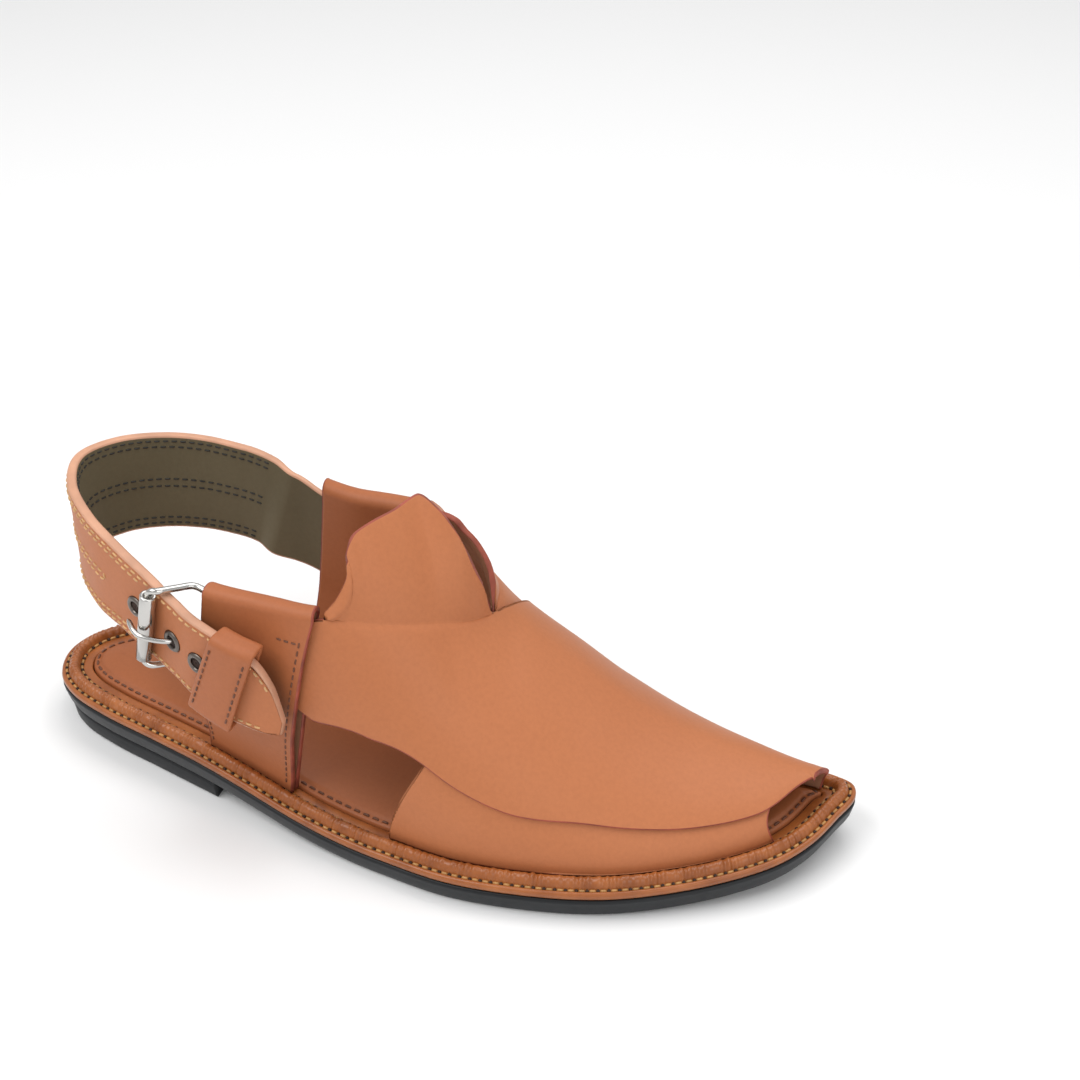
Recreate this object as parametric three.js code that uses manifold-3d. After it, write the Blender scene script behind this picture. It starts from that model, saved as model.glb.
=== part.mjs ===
// A peshawari chappal for the right foot, unworn and standing on its sole.
// Millimetres, +X to the toe, +Y to the inner side of the foot, +Z up, z = 0 is the floor.

import * as THREE from 'three';
import { mergeVertices } from 'three/addons/utils/BufferGeometryUtils.js';
import Module from 'manifold-3d';

const wasm = await Module();
wasm.setup();

// Sole
const LENGTH = 285;
const BALL_WIDTH = 113;
const OUTSOLE_THICKNESS = 8;
const HEEL_HEIGHT = 7.5;
const HEEL_LENGTH = 76;
const TOE_SPRING = 7.5;
const SOLE_DRAFT = 1.6;
const GAP = 0.35;

// Welt and insole
const WELT_WIDTH = 11;
const WELT_HEIGHT = 5.5;
const FLANGE_HEIGHT = 2.6;
const INSOLE_THICKNESS = 4.4;
const INSOLE_CROWN = 1.4;

// Upper
const LEATHER = 2;
const WING_SEAT = 9.7;
const WING_LAP = 0.5;
const THROAT_HEIGHT = 111;
const RIDGE_SHIFT = 4;

// Stays, strap, keeper
const STAY_LEATHER = 1.8;
const STAY_GAP = 3.6;
const STAY_FOOT_GAP = 0.4;
const STAY_HEIGHT = 0.82;
const STRAP_WIDTH = 37;
const STRAP_THICKNESS = 3.2;
const STRAP_PLY = 2;
const KEEPER_WIDTH = 14.5;
const KEEPER_LEATHER = 1.8;
const KEEPER_SLACK = 1.7;
const KEEPER_BACK_SLACK = 0.45;

// Buckle and eyelets
const WIRE = 2.2;
const PRONG_WIRE = 1.8;
const ROLLER_RADIUS = 2.6;
const ROLLER_LENGTH = 29.4;
const BUCKLE_HEIGHT = 35;
const BUCKLE_CORNER = 2.3;
const EYELET_BORE = 4.2;
const EYELET_BARREL = 0.4;
const EYELET_RIM = 8;
const EYELET_METAL = 0.6;

// Fineness of the meshes
const RING_STEPS = 36;
const WING_STEPS = 30;
const WING_ROWS = 8;

const clamp01 = (t) => Math.min(1, Math.max(0, t));
const smoothStep = (t) => clamp01(t) ** 2 * (3 - 2 * clamp01(t));
const mix = (a, b, t) => a + (b - a) * t;
const vec = (x, y, z) => new THREE.Vector3(x, y, z);

// Smooth curve through one column of a table, without overshoot between rows.
function column(rows, at, key) {
  const x = rows.map((row) => row[at]);
  const y = rows.map((row) => row[key]);
  const steps = x.slice(1).map((value, i) => (y[i + 1] - y[i]) / (value - x[i]));
  const slope = y.map((value, i) => {
    if (i === 0) return steps[0];
    if (i === y.length - 1) return steps[i - 1];
    if (steps[i - 1] * steps[i] <= 0) return 0;
    return (2 * steps[i - 1] * steps[i]) / (steps[i - 1] + steps[i]);
  });
  return (value) => {
    const u = Math.min(Math.max(value, x[0]), x[x.length - 1]);
    let i = x.findIndex((edge) => edge >= u) - 1;
    if (i < 0) i = 0;
    const span = x[i + 1] - x[i];
    const t = (u - x[i]) / span;
    const a = (1 + 2 * t) * (1 - t) ** 2;
    const b = t * (1 - t) ** 2;
    const c = t * t * (3 - 2 * t);
    const d = t * t * (t - 1);
    return a * y[i] + b * span * slope[i] + c * y[i + 1] + d * span * slope[i + 1];
  };
}

// Outline of the sole from the back of the heel, along the outer side to the toe, and back inside.
// along is a share of LENGTH from the middle, across a share of BALL_WIDTH, outer side negative.
const outlineTable = [
  { along: -0.5, across: 0 },
  { along: -0.486, across: -0.11 },
  { along: -0.455, across: -0.18 },
  { along: -0.4, across: -0.238 },
  { along: -0.33, across: -0.288 },
  { along: -0.25, across: -0.345 },
  { along: -0.186, across: -0.39 },
  { along: -0.1, across: -0.448 },
  { along: 0, across: -0.494 },
  { along: 0.09, across: -0.52 },
  { along: 0.19, across: -0.494 },
  { along: 0.265, across: -0.445 },
  { along: 0.33, across: -0.374 },
  { along: 0.395, across: -0.28 },
  { along: 0.437, across: -0.197 },
  { along: 0.466, across: -0.1 },
  { along: 0.486, across: 0.015 },
  { along: 0.4985, across: 0.1, toe: true },
  { along: 0.493, across: 0.15 },
  { along: 0.47, across: 0.184 },
  { along: 0.435, across: 0.21 },
  { along: 0.38, across: 0.27 },
  { along: 0.32, across: 0.338 },
  { along: 0.26, across: 0.4 },
  { along: 0.19, across: 0.452 },
  { along: 0.11, across: 0.472 },
  { along: 0.04, across: 0.458 },
  { along: -0.03, across: 0.415 },
  { along: -0.09, across: 0.368 },
  { along: -0.16, across: 0.334 },
  { along: -0.24, across: 0.316 },
  { along: -0.33, across: 0.292 },
  { along: -0.4, across: 0.255 },
  { along: -0.455, across: 0.19 },
  { along: -0.488, across: 0.105 },
];

// Millimetres to each side over which the inward direction is averaged, and the sample count.
const NORMAL_WINDOW = 15;
const OUTLINE_SAMPLES = 720;

function traceOutline() {
  const points = outlineTable.map((row) => vec(row.along * LENGTH, row.across * BALL_WIDTH, 0));
  const curve = new THREE.CatmullRomCurve3(points, true, 'centripetal');
  curve.arcLengthDivisions = 2000;
  const count = OUTLINE_SAMPLES;
  const samples = Array.from({ length: count }, (unused, i) => curve.getPointAt(i / count));
  const inward = samples.map((point, i) => {
    const ahead = samples[(i + 1) % count];
    const behind = samples[(i + count - 1) % count];
    const tangent = ahead.clone().sub(behind).normalize();
    return vec(-tangent.y, tangent.x, 0);
  });
  const window = Math.round((NORMAL_WINDOW * count) / curve.getLength());
  const soft = inward.map((normal, i) => {
    const sum = vec(0, 0, 0);
    for (let k = -window; k <= window; k += 1) {
      sum.add(inward[(i + k + count) % count]);
    }
    sum.normalize();
    return sum.multiplyScalar(1 / Math.max(0.85, sum.dot(normal)));
  });
  const tip = points[outlineTable.findIndex((row) => row.toe)];
  const reach = samples.map((point) => point.distanceTo(tip));
  return { samples, soft, count, toe: reach.indexOf(Math.min(...reach)) };
}

const outline = traceOutline();

// The outer and the inner side of the outline as lists of sample numbers, heel to toe.
function sideSamples(side) {
  const list = [];
  if (side < 0) {
    for (let i = 0; i <= outline.toe; i += 1) list.push(i);
  } else {
    for (let i = outline.count; i >= outline.toe; i -= 1) list.push(i % outline.count);
  }
  return list;
}

function evenStations(side, steps) {
  const list = sideSamples(side);
  const reach = [0];
  for (let i = 1; i < list.length; i += 1) {
    reach.push(reach[i - 1] + outline.samples[list[i]].distanceTo(outline.samples[list[i - 1]]));
  }
  const total = reach[reach.length - 1];
  return Array.from({ length: steps + 1 }, (unused, k) => {
    const wanted = (total * k) / steps;
    const i = Math.min(Math.max(reach.findIndex((value) => value >= wanted - 1e-9), 0), list.length - 1);
    return list[i];
  });
}

const outerStations = evenStations(-1, RING_STEPS);
const innerStations = evenStations(1, RING_STEPS);
const insetPoint = (i, inset) => outline.samples[i].clone().addScaledVector(outline.soft[i], inset);

// A ring round the sole: outer side heel to toe, then inner side toe to heel.
function ring(inset, height) {
  const back = innerStations.slice(1, -1).reverse();
  return [...outerStations, ...back].map((i) => {
    const point = insetPoint(i, inset);
    point.z = height(point.x);
    return point;
  });
}

// The y of the outline's outer (-1) or inner (1) side at x, moved in by an inset.
function sideLine(side, inset) {
  const points = sideSamples(side).map((i) => insetPoint(i, inset));
  return (x) => {
    let k = points.findIndex((point) => point.x >= x);
    if (k < 0) k = points.length - 1;
    if (k === 0) return points[0].y;
    const a = points[k - 1];
    const b = points[k];
    return mix(a.y, b.y, clamp01((x - a.x) / (b.x - a.x)));
  };
}

// Height of the outsole's top: heel seat, slope through the arch, level forefoot, raised toe.
const SEAT_END = -0.28 * LENGTH;
const BALL_START = 0;
const SPRING_START = 0.22 * LENGTH;

function soleTop(x) {
  const drop = smoothStep((x - SEAT_END) / (BALL_START - SEAT_END));
  const spring = clamp01((x - SPRING_START) / (LENGTH / 2 - SPRING_START)) ** 2;
  return OUTSOLE_THICKNESS + HEEL_HEIGHT * (1 - drop) + TOE_SPRING * spring;
}

function solid(positions, faces) {
  const geometry = new THREE.BufferGeometry();
  const flat = positions.flatMap((p) => [p.x, p.y, p.z]);
  geometry.setAttribute('position', new THREE.Float32BufferAttribute(flat, 3));
  geometry.setIndex(faces.flat());
  const merged = mergeVertices(geometry, 1e-4);
  const index = Array.from(merged.index.array);
  const kept = [];
  for (let i = 0; i < index.length; i += 3) {
    const [a, b, c] = [index[i], index[i + 1], index[i + 2]];
    if (a !== b && b !== c && a !== c) kept.push(a, b, c);
  }
  const p = merged.getAttribute('position');
  let volume = 0;
  for (let i = 0; i < kept.length; i += 3) {
    const [a, b, c] = [0, 1, 2].map((k) => vec(0, 0, 0).fromBufferAttribute(p, kept[i + k]));
    volume += a.dot(b.cross(c));
  }
  if (volume < 0) {
    for (let i = 0; i < kept.length; i += 3) [kept[i], kept[i + 1]] = [kept[i + 1], kept[i]];
  }
  merged.setIndex(kept);
  return merged;
}

// Closed solid through a stack of equal rings: capped strip by strip, or joined last to first.
// The caps pair point i with point n - i - fold.
function loft(rings, joined, fold = 0) {
  const n = rings[0].length;
  const faces = [];
  const layers = joined ? rings.length : rings.length - 1;
  for (let j = 0; j < layers; j += 1) {
    const up = (j + 1) % rings.length;
    for (let i = 0; i < n; i += 1) {
      const k = (i + 1) % n;
      faces.push([j * n + i, j * n + k, up * n + k], [j * n + i, up * n + k, up * n + i]);
    }
  }
  if (!joined) {
    const end = (rings.length - 1) * n;
    for (let i = 0; i < (n - fold) / 2; i += 1) {
      const strip = [i, i + 1, (n - i - 1 - fold) % n, (n - i - fold) % n];
      faces.push([strip[0], strip[2], strip[1]], [strip[0], strip[3], strip[2]]);
      faces.push([end + strip[0], end + strip[1], end + strip[2]]);
      faces.push([end + strip[0], end + strip[2], end + strip[3]]);
    }
  }
  return solid(rings.flat(), faces);
}

// Closed sheet between two equal grids of points, its inner and its outer face.
function sheet(inner, outer) {
  const rows = inner.length;
  const columns = inner[0].length;
  const points = [...inner.flat(), ...outer.flat()];
  const shift = rows * columns;
  const faces = [];
  const at = (i, j) => i * columns + j;
  for (let i = 0; i + 1 < rows; i += 1) {
    for (let j = 0; j + 1 < columns; j += 1) {
      const quad = [at(i, j), at(i, j + 1), at(i + 1, j + 1), at(i + 1, j)];
      faces.push([quad[0], quad[2], quad[1]], [quad[0], quad[3], quad[2]]);
      faces.push([quad[0] + shift, quad[1] + shift, quad[2] + shift]);
      faces.push([quad[0] + shift, quad[2] + shift, quad[3] + shift]);
    }
  }
  const rim = [];
  for (let j = 0; j < columns - 1; j += 1) rim.push(at(0, j));
  for (let i = 0; i < rows - 1; i += 1) rim.push(at(i, columns - 1));
  for (let j = columns - 1; j > 0; j -= 1) rim.push(at(rows - 1, j));
  for (let i = rows - 1; i > 0; i -= 1) rim.push(at(i, 0));
  rim.forEach((a, k) => {
    const b = rim[(k + 1) % rim.length];
    faces.push([a, b, b + shift], [a, b + shift, a + shift]);
  });
  return solid(points, faces);
}

function toManifold(geometry) {
  const bare = geometry.clone();
  bare.deleteAttribute('normal');
  bare.deleteAttribute('uv');
  const merged = mergeVertices(bare, 1e-4);
  const mesh = new wasm.Mesh({
    numProp: 3,
    vertProperties: new Float32Array(merged.getAttribute('position').array),
    triVerts: new Uint32Array(merged.index.array),
  });
  return new wasm.Manifold(mesh);
}

function fromManifold(manifold) {
  const mesh = manifold.getMesh();
  const geometry = new THREE.BufferGeometry();
  geometry.setAttribute('position', new THREE.Float32BufferAttribute(mesh.vertProperties, 3));
  geometry.setIndex(Array.from(mesh.triVerts));
  return geometry;
}

// Outer shells of a solid: small hollows shut in between two glued leathers are filled.
function outerShells(manifold) {
  const mesh = manifold.getMesh();
  const corner = (i) => vec(...mesh.vertProperties.slice(3 * i, 3 * i + 3));
  const owner = Array.from({ length: mesh.vertProperties.length / 3 }, (unused, i) => i);
  const root = (i) => {
    let k = i;
    while (owner[k] !== k) {
      owner[k] = owner[owner[k]];
      k = owner[k];
    }
    return k;
  };
  const faces = [];
  for (let i = 0; i < mesh.triVerts.length; i += 3) faces.push(Array.from(mesh.triVerts.slice(i, i + 3)));
  faces.forEach(([a, b, c]) => {
    owner[root(b)] = root(a);
    owner[root(c)] = root(a);
  });
  const volume = new Map();
  faces.forEach(([a, b, c]) => {
    const share = corner(a).dot(corner(b).cross(corner(c)));
    volume.set(root(a), (volume.get(root(a)) || 0) + share);
  });
  const kept = faces.filter(([a]) => volume.get(root(a)) > 0);
  const geometry = new THREE.BufferGeometry();
  geometry.setAttribute('position', new THREE.Float32BufferAttribute(mesh.vertProperties, 3));
  geometry.setIndex(kept.flat());
  geometry.userData.shells = new Set(kept.map(([a]) => root(a))).size;
  return mergeVertices(geometry, 1e-5);
}

// Outsole: an even layer with a slightly drafted side.
function makeOutsole() {
  const under = (x) => soleTop(x) - OUTSOLE_THICKNESS;
  return loft([
    ring(SOLE_DRAFT + 1, under),
    ring(SOLE_DRAFT, (x) => under(x) + 1),
    ring(SOLE_DRAFT * 0.3, (x) => under(x) + OUTSOLE_THICKNESS * 0.6),
    ring(0, (x) => soleTop(x) - 1.2),
    ring(0.8, soleTop),
  ], false);
}

// Heel: the sole's outline cut square by the breast.
function makeHeel() {
  const breast = -LENGTH / 2 + HEEL_LENGTH;
  const heelRing = (inset, height) => {
    const arc = (side) => {
      const list = sideSamples(side).filter((i) => insetPoint(i, inset).x < breast - 1);
      const steps = 14;
      const points = Array.from({ length: steps }, (unused, k) => {
        return insetPoint(list[Math.round(((list.length - 1) * k) / (steps - 1))], inset);
      });
      points.push(vec(breast, sideLine(side, inset)(breast), 0));
      return points;
    };
    const outer = arc(-1);
    const inner = arc(1).slice(1).reverse();
    return [...outer, ...inner].map((point) => vec(point.x, point.y, height(point.x)));
  };
  const top = (x) => soleTop(x) - OUTSOLE_THICKNESS - GAP;
  const rings = [
    heelRing(SOLE_DRAFT + 2.2, () => 0),
    heelRing(SOLE_DRAFT + 1.4, () => 1),
    heelRing(SOLE_DRAFT + 0.6, (x) => top(x) - 0.8),
    heelRing(SOLE_DRAFT + 1, top),
  ];
  return loft(rings, false, 1);
}

// Section of the welt: across is a share of WELT_WIDTH from the sole's edge, rise of WELT_HEIGHT.
const weltTable = [
  { across: 0.05, rise: 0 },
  { across: 0, rise: 0.3 },
  { across: 0.04, rise: 0.46 },
  { across: 0.12, rise: 0.5 },
  { across: 0.17, rise: 0.36 },
  { across: 0.23, rise: 0.52 },
  { across: 0.32, rise: 0.88 },
  { across: 0.43, rise: 1 },
  { across: 0.54, rise: 0.88 },
  { across: 0.61, rise: 0.56 },
  { across: 0.64, rise: FLANGE_HEIGHT / WELT_HEIGHT },
  { across: 1, rise: FLANGE_HEIGHT / WELT_HEIGHT },
  { across: 1, rise: 0 },
];

function makeWelt() {
  const rings = weltTable.map((row) => {
    return ring(row.across * WELT_WIDTH, (x) => soleTop(x) + GAP + row.rise * WELT_HEIGHT);
  });
  return loft(rings, true);
}

// Insole: across is how far a ring is drawn to the middle, rise a share of INSOLE_THICKNESS.
const insoleTable = [
  { inset: GAP, draw: 1, rise: 0 },
  { inset: GAP, draw: 1, rise: 0.5 },
  { inset: 0.8, draw: 1, rise: 0.78 },
  { inset: 2.4, draw: 1, rise: 0.86 },
  { inset: 3.2, draw: 0.99, rise: 1 },
  { inset: 3.2, draw: 0.7, rise: 1, crown: 0.7 },
  { inset: 3.2, draw: 0.3, rise: 1, crown: 1 },
];

function makeInsole() {
  const rings = insoleTable.map((row) => {
    const crown = (row.crown || 0) * INSOLE_CROWN;
    const points = ring(WELT_WIDTH + row.inset, () => 0);
    const middle = points.map((point, i) => points[(points.length - i) % points.length]);
    return points.map((point, i) => {
      const axis = (point.y + middle[i].y) / 2;
      const y = mix(axis, point.y, row.draw);
      const x = point.x * mix(0.93, 1, row.draw);
      return vec(x, y, soleTop(x) + GAP + row.rise * INSOLE_THICKNESS + crown);
    });
  });
  return loft(rings, false);
}

// Sections of the last that the upper is drawn over. along is a share of LENGTH from the middle,
// ridge of THROAT_HEIGHT; outer and inner are how square each side of the section is.
const lastTable = [
  { along: -0.34, ridge: 1.567, outer: 3.9, inner: 3.9 },
  { along: -0.21, ridge: 1.3, outer: 3.6, inner: 3.4 },
  { along: -0.077, ridge: 1, outer: 3.3, inner: 3 },
  { along: 0, ridge: 0.825, outer: 2.7, inner: 2.3 },
  { along: 0.077, ridge: 0.629, outer: 2.2, inner: 1.75 },
  { along: 0.15, ridge: 0.502, outer: 2, inner: 1.6 },
  { along: 0.203, ridge: 0.417, outer: 1.9, inner: 1.5 },
  { along: 0.263, ridge: 0.338, outer: 1.9, inner: 1.5 },
  { along: 0.326, ridge: 0.285, outer: 1.9, inner: 1.6 },
  { along: 0.39, ridge: 0.258, outer: 2, inner: 1.8 },
  { along: 0.435, ridge: 0.247, outer: 2.1, inner: 1.9 },
  { along: 0.48, ridge: 0.237, outer: 2.2, inner: 2 },
];

const last = {
  ridge: column(lastTable, 'along', 'ridge'),
  outer: column(lastTable, 'along', 'outer'),
  inner: column(lastTable, 'along', 'inner'),
  outerLine: sideLine(-1, WING_SEAT),
  innerLine: sideLine(1, WING_SEAT),
};

const wingSeat = (x) => soleTop(x) + GAP + FLANGE_HEIGHT + GAP;

// A point of the last: turn runs from -1 at the outer seat over 0 at the ridge to 1 at the inner.
function lastPoint(x, turn) {
  const at = x / LENGTH;
  const side = turn < 0 ? last.outerLine(x) : last.innerLine(x);
  const square = turn < 0 ? last.outer(at) : last.inner(at);
  const angle = Math.min(Math.abs(turn), 1) * Math.PI / 2;
  const seat = wingSeat(x);
  const rise = last.ridge(at) * THROAT_HEIGHT - seat;
  const y = mix(RIDGE_SHIFT, side, Math.sin(angle) ** (2 / square));
  return vec(x, y, seat + rise * Math.max(Math.cos(angle), 0) ** (2 / square));
}

const SEAT_TURN = 0.985;

function lastNormal(x, turn) {
  const t = Math.max(-SEAT_TURN, Math.min(SEAT_TURN, turn));
  const alongX = lastPoint(x + 1, t).sub(lastPoint(x - 1, t));
  const across = lastPoint(x, t + 0.012).sub(lastPoint(x, t - 0.012));
  const normal = alongX.cross(across).normalize();
  if (Math.abs(turn) > SEAT_TURN) normal.setZ(0).normalize();
  return normal;
}

const onLast = (x, turn, lift) => lastPoint(x, turn).addScaledVector(lastNormal(x, turn), lift);

// The turn at which the last's side reaches a height.
function turnAt(x, z, side) {
  const at = x / LENGTH;
  const seat = wingSeat(x);
  const share = clamp01((z - seat) / (last.ridge(at) * THROAT_HEIGHT - seat));
  const square = side < 0 ? last.outer(at) : last.inner(at);
  return side * Math.acos(share ** (square / 2)) / (Math.PI / 2);
}

// Each row is one line across a wing, from its front or lower edge to its back or upper edge.
// Along is a share of LENGTH from the middle, turn is the place round the last.
const topWingTable = [
  { frontAlong: -0.117, frontTurn: -0.875, backAlong: -0.108, backTurn: -0.69 },
  { frontAlong: -0.084, frontTurn: -0.87, backAlong: -0.0754, backTurn: -0.57 },
  { frontAlong: -0.018, frontTurn: -0.785, backAlong: -0.038, backTurn: -0.47 },
  { frontAlong: 0.054, frontTurn: -0.715, backAlong: 0, backTurn: -0.36 },
  { frontAlong: 0.14, frontTurn: -0.73, backAlong: 0.032, backTurn: -0.24 },
  { frontAlong: 0.232, frontTurn: -0.67, backAlong: 0.06, backTurn: -0.11 },
  { frontAlong: 0.337, frontTurn: -0.64, backAlong: 0.078, backTurn: 0.04 },
  { frontAlong: 0.4, frontTurn: -0.56, backAlong: 0.084, backTurn: 0.25 },
  { frontAlong: 0.433, frontTurn: -0.3, backAlong: 0.08, backTurn: 0.46 },
  { frontAlong: 0.455, frontTurn: 0.05, backAlong: 0.066, backTurn: 0.68 },
  { frontAlong: 0.462, frontTurn: 0.5, backAlong: 0.045, backTurn: 0.86 },
  { frontAlong: 0.458, frontTurn: 1, backAlong: 0.022, backTurn: 1 },
];

const underWingTable = [
  { frontAlong: -0.082, frontTurn: 0.875, backAlong: -0.073, backTurn: 0.66 },
  { frontAlong: -0.051, frontTurn: 0.87, backAlong: -0.0404, backTurn: 0.57 },
  { frontAlong: 0.008, frontTurn: 0.8, backAlong: -0.003, backTurn: 0.47 },
  { frontAlong: 0.07, frontTurn: 0.74, backAlong: 0.034, backTurn: 0.36 },
  { frontAlong: 0.148, frontTurn: 0.72, backAlong: 0.058, backTurn: 0.22 },
  { frontAlong: 0.235, frontTurn: 0.68, backAlong: 0.068, backTurn: 0.06 },
  { frontAlong: 0.32, frontTurn: 0.6, backAlong: 0.073, backTurn: -0.12 },
  { frontAlong: 0.385, frontTurn: 0.4, backAlong: 0.0745, backTurn: -0.3 },
  { frontAlong: 0.41, frontTurn: 0.05, backAlong: 0.071, backTurn: -0.45 },
  { frontAlong: 0.414, frontTurn: -0.3, backAlong: 0.06, backTurn: -0.6 },
  { frontAlong: 0.411, frontTurn: -0.62, backAlong: 0.043, backTurn: -0.76 },
  { frontAlong: 0.419, frontTurn: -1, backAlong: 0.007, backTurn: -1 },
];

// A wing as a sheet on the last; lift gives the height of its inner face above the last.
function wingPlace(table) {
  const rows = table.map((row, i) => ({ ...row, at: i / (table.length - 1) }));
  const keys = ['frontAlong', 'frontTurn', 'backAlong', 'backTurn'];
  const [frontAlong, frontTurn, backAlong, backTurn] = keys.map((key) => column(rows, 'at', key));
  return (u, w) => ({
    x: mix(frontAlong(u), backAlong(u), w) * LENGTH,
    turn: mix(frontTurn(u), backTurn(u), w),
  });
}

// The top wing lies over the under wing and comes down to the last at the inner seat.
const topLift = (turn) => (LEATHER - WING_LAP) * (1 - smoothStep((turn - 0.74) / 0.22));
const underLift = () => 0;

// Throat flaps: at is the place along the wing's back edge that a row of the flap rises from.
// The tip's x is a share of LENGTH, y of BALL_WIDTH, z of THROAT_HEIGHT.
const topFlapTable = [
  { at: 0.105, x: -0.0702, y: -0.323, z: 0.8 },
  { at: 0.12, x: -0.0577, y: -0.301, z: 0.845 },
  { at: 0.135, x: -0.0495, y: -0.274, z: 0.905 },
  { at: 0.16, x: -0.0559, y: -0.243, z: 0.956 },
  { at: 0.19, x: -0.0552, y: -0.212, z: 0.985 },
  { at: 0.25, x: -0.0432, y: -0.155, z: 1.005 },
  { at: 0.31, x: -0.0267, y: -0.084, z: 1.012 },
  { at: 0.36, x: -0.0081, y: 0, z: 1.022 },
  { at: 0.4, x: 0.0165, y: -0.013, z: 0.99 },
  { at: 0.43, x: 0.035, y: -0.027, z: 0.945 },
  { at: 0.455, x: 0.05, y: -0.035, z: 0.885 },
  { at: 0.47, x: 0.061, y: -0.04, z: 0.825 },
  { at: 0.482, x: 0.07, y: -0.035, z: 0.765 },
  { at: 0.49, x: 0.0725, y: -0.027, z: 0.7 },
];
const underFlapTable = [
  { at: 0.105, x: -0.034, y: 0.2619, z: 0.7703 },
  { at: 0.12, x: -0.0281, y: 0.2478, z: 0.7928 },
  { at: 0.135, x: -0.0246, y: 0.2301, z: 0.8198 },
  { at: 0.16, x: -0.0274, y: 0.2035, z: 0.8514 },
  { at: 0.19, x: -0.0267, y: 0.177, z: 0.8739 },
  { at: 0.25, x: -0.0211, y: 0.1327, z: 0.8964 },
  { at: 0.31, x: -0.0105, y: 0.0885, z: 0.9144 },
  { at: 0.36, x: 0.0035, y: 0.0549, z: 0.9297 },
  { at: 0.4, x: 0.0168, y: 0.0407, z: 0.9369 },
  { at: 0.425, x: 0.027, y: 0.0354, z: 0.9315 },
  { at: 0.445, x: 0.0351, y: 0.0336, z: 0.9099 },
  { at: 0.465, x: 0.0495, y: 0.031, z: 0.8784 },
  { at: 0.48, x: 0.0635, y: 0.0283, z: 0.8252 },
  { at: 0.488, x: 0.0698, y: 0.0248, z: 0.782 },
  { at: 0.494, x: 0.073, y: 0.0212, z: 0.7225 },
  { at: 0.498, x: 0.0737, y: 0.0142, z: 0.6784 },
];
const FLAP_BULGE = 0.014;
const FLAP_LEAN = 0.013;
const FLAP_ROWS = 6;

function flapShape(table) {
  const [x, y, z] = ['x', 'y', 'z'].map((key) => column(table, 'at', key));
  return {
    first: table[0].at,
    end: table[table.length - 1].at,
    steep: table.map((row) => row.at).slice(-5, -1),
    tip: (u) => vec(x(u) * LENGTH, y(u) * BALL_WIDTH, z(u) * THROAT_HEIGHT),
  };
}

// One wing and its flap as a sheet: lines from the front edge over the last to the crease,
// then up the flap to its free edge.
function makeWing(place, lift, side, flap) {
  const { first, end, steep } = flap;
  const even = Array.from({ length: WING_STEPS + 1 }, (unused, i) => i / WING_STEPS);
  const near = (u) => Math.abs(u - first) < 0.014 || (u > steep[0] - 0.01 && u < end + 0.012);
  const kept = even.filter((u) => !near(u));
  const stations = [...kept, first - 0.006, first, ...steep, end, end + 0.01];
  stations.sort((a, b) => a - b);
  const middle = [];
  const normals = [];
  stations.forEach((u) => {
    const line = [];
    const across = [];
    for (let j = 0; j <= WING_ROWS; j += 1) {
      const { x, turn } = place(u, j / WING_ROWS);
      line.push(onLast(x, turn, lift(turn) + LEATHER / 2));
      across.push(lastNormal(x, turn));
    }
    const crease = line[WING_ROWS];
    const inFlap = u >= first && u <= end;
    const tip = flap.tip(u);
    const round = smoothStep((end - u) / 0.08);
    const bulge = vec(FLAP_BULGE * LENGTH, side * FLAP_LEAN * BALL_WIDTH, 0);
    const belly = crease.clone().lerp(tip, 0.5).addScaledVector(bulge, round);
    for (let k = 1; k <= FLAP_ROWS; k += 1) {
      const t = k / FLAP_ROWS;
      const a = crease.clone().lerp(belly, t);
      const b = belly.clone().lerp(tip, t);
      line.push(inFlap ? a.lerp(b, t) : crease.clone());
      across.push(across[WING_ROWS].clone());
    }
    middle.push(line);
    normals.push(across);
  });
  stations.forEach((u, i) => {
    if (u < first || u > end) return;
    const ahead = stations[i + 1] <= end ? i + 1 : i;
    const behind = stations[i - 1] >= first ? i - 1 : i;
    for (let j = WING_ROWS; j <= WING_ROWS + FLAP_ROWS; j += 1) {
      const up = Math.min(j + 1, WING_ROWS + FLAP_ROWS);
      const down = Math.max(j - 1, WING_ROWS);
      const alongEdge = middle[ahead][j].clone().sub(middle[behind][j]);
      const rise = middle[i][up].clone().sub(middle[i][down]);
      const normal = alongEdge.cross(rise).normalize().multiplyScalar(-side);
      if (j === WING_ROWS) normal.add(lastNormal(place(u, 1).x, place(u, 1).turn)).normalize();
      normals[i][j].copy(normal);
    }
  });
  const moved = (amount) => middle.map((line, i) => line.map((point, j) => {
    return point.clone().addScaledVector(normals[i][j], amount);
  }));
  return sheet(moved(-LEATHER / 2), moved(LEATHER / 2));
}

function makeUpper() {
  const topFlap = flapShape(topFlapTable);
  const underFlap = flapShape(underFlapTable);
  const top = toManifold(makeWing(wingPlace(topWingTable), topLift, -1, topFlap));
  const under = toManifold(makeWing(wingPlace(underWingTable), underLift, 1, underFlap));
  return outerShells(top.add(under));
}

// Stays: where the front and rear edges of a folded post stand, as shares of LENGTH. The inner
// stay stands further forward than the outer one.
const stayTable = [
  { share: 0, foot: -0.123, top: -0.0785 },
  { share: 0.5, foot: -0.184, top: -0.1445 },
  { share: 1, foot: -0.243, top: -0.2105 },
];
const INNER_STAY_AHEAD = 0.035;
// How far the rear of a stay stands out from the last.
const STAY_FLARE_OUTER = 3;
const STAY_FLARE_INNER = 6.2;
const STAY_FLARE_RISE = 32;
const STAY_FOOT_LIFT = 0.4;

const stayFoot = column(stayTable, 'share', 'foot');
const stayHead = column(stayTable, 'share', 'top');

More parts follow.
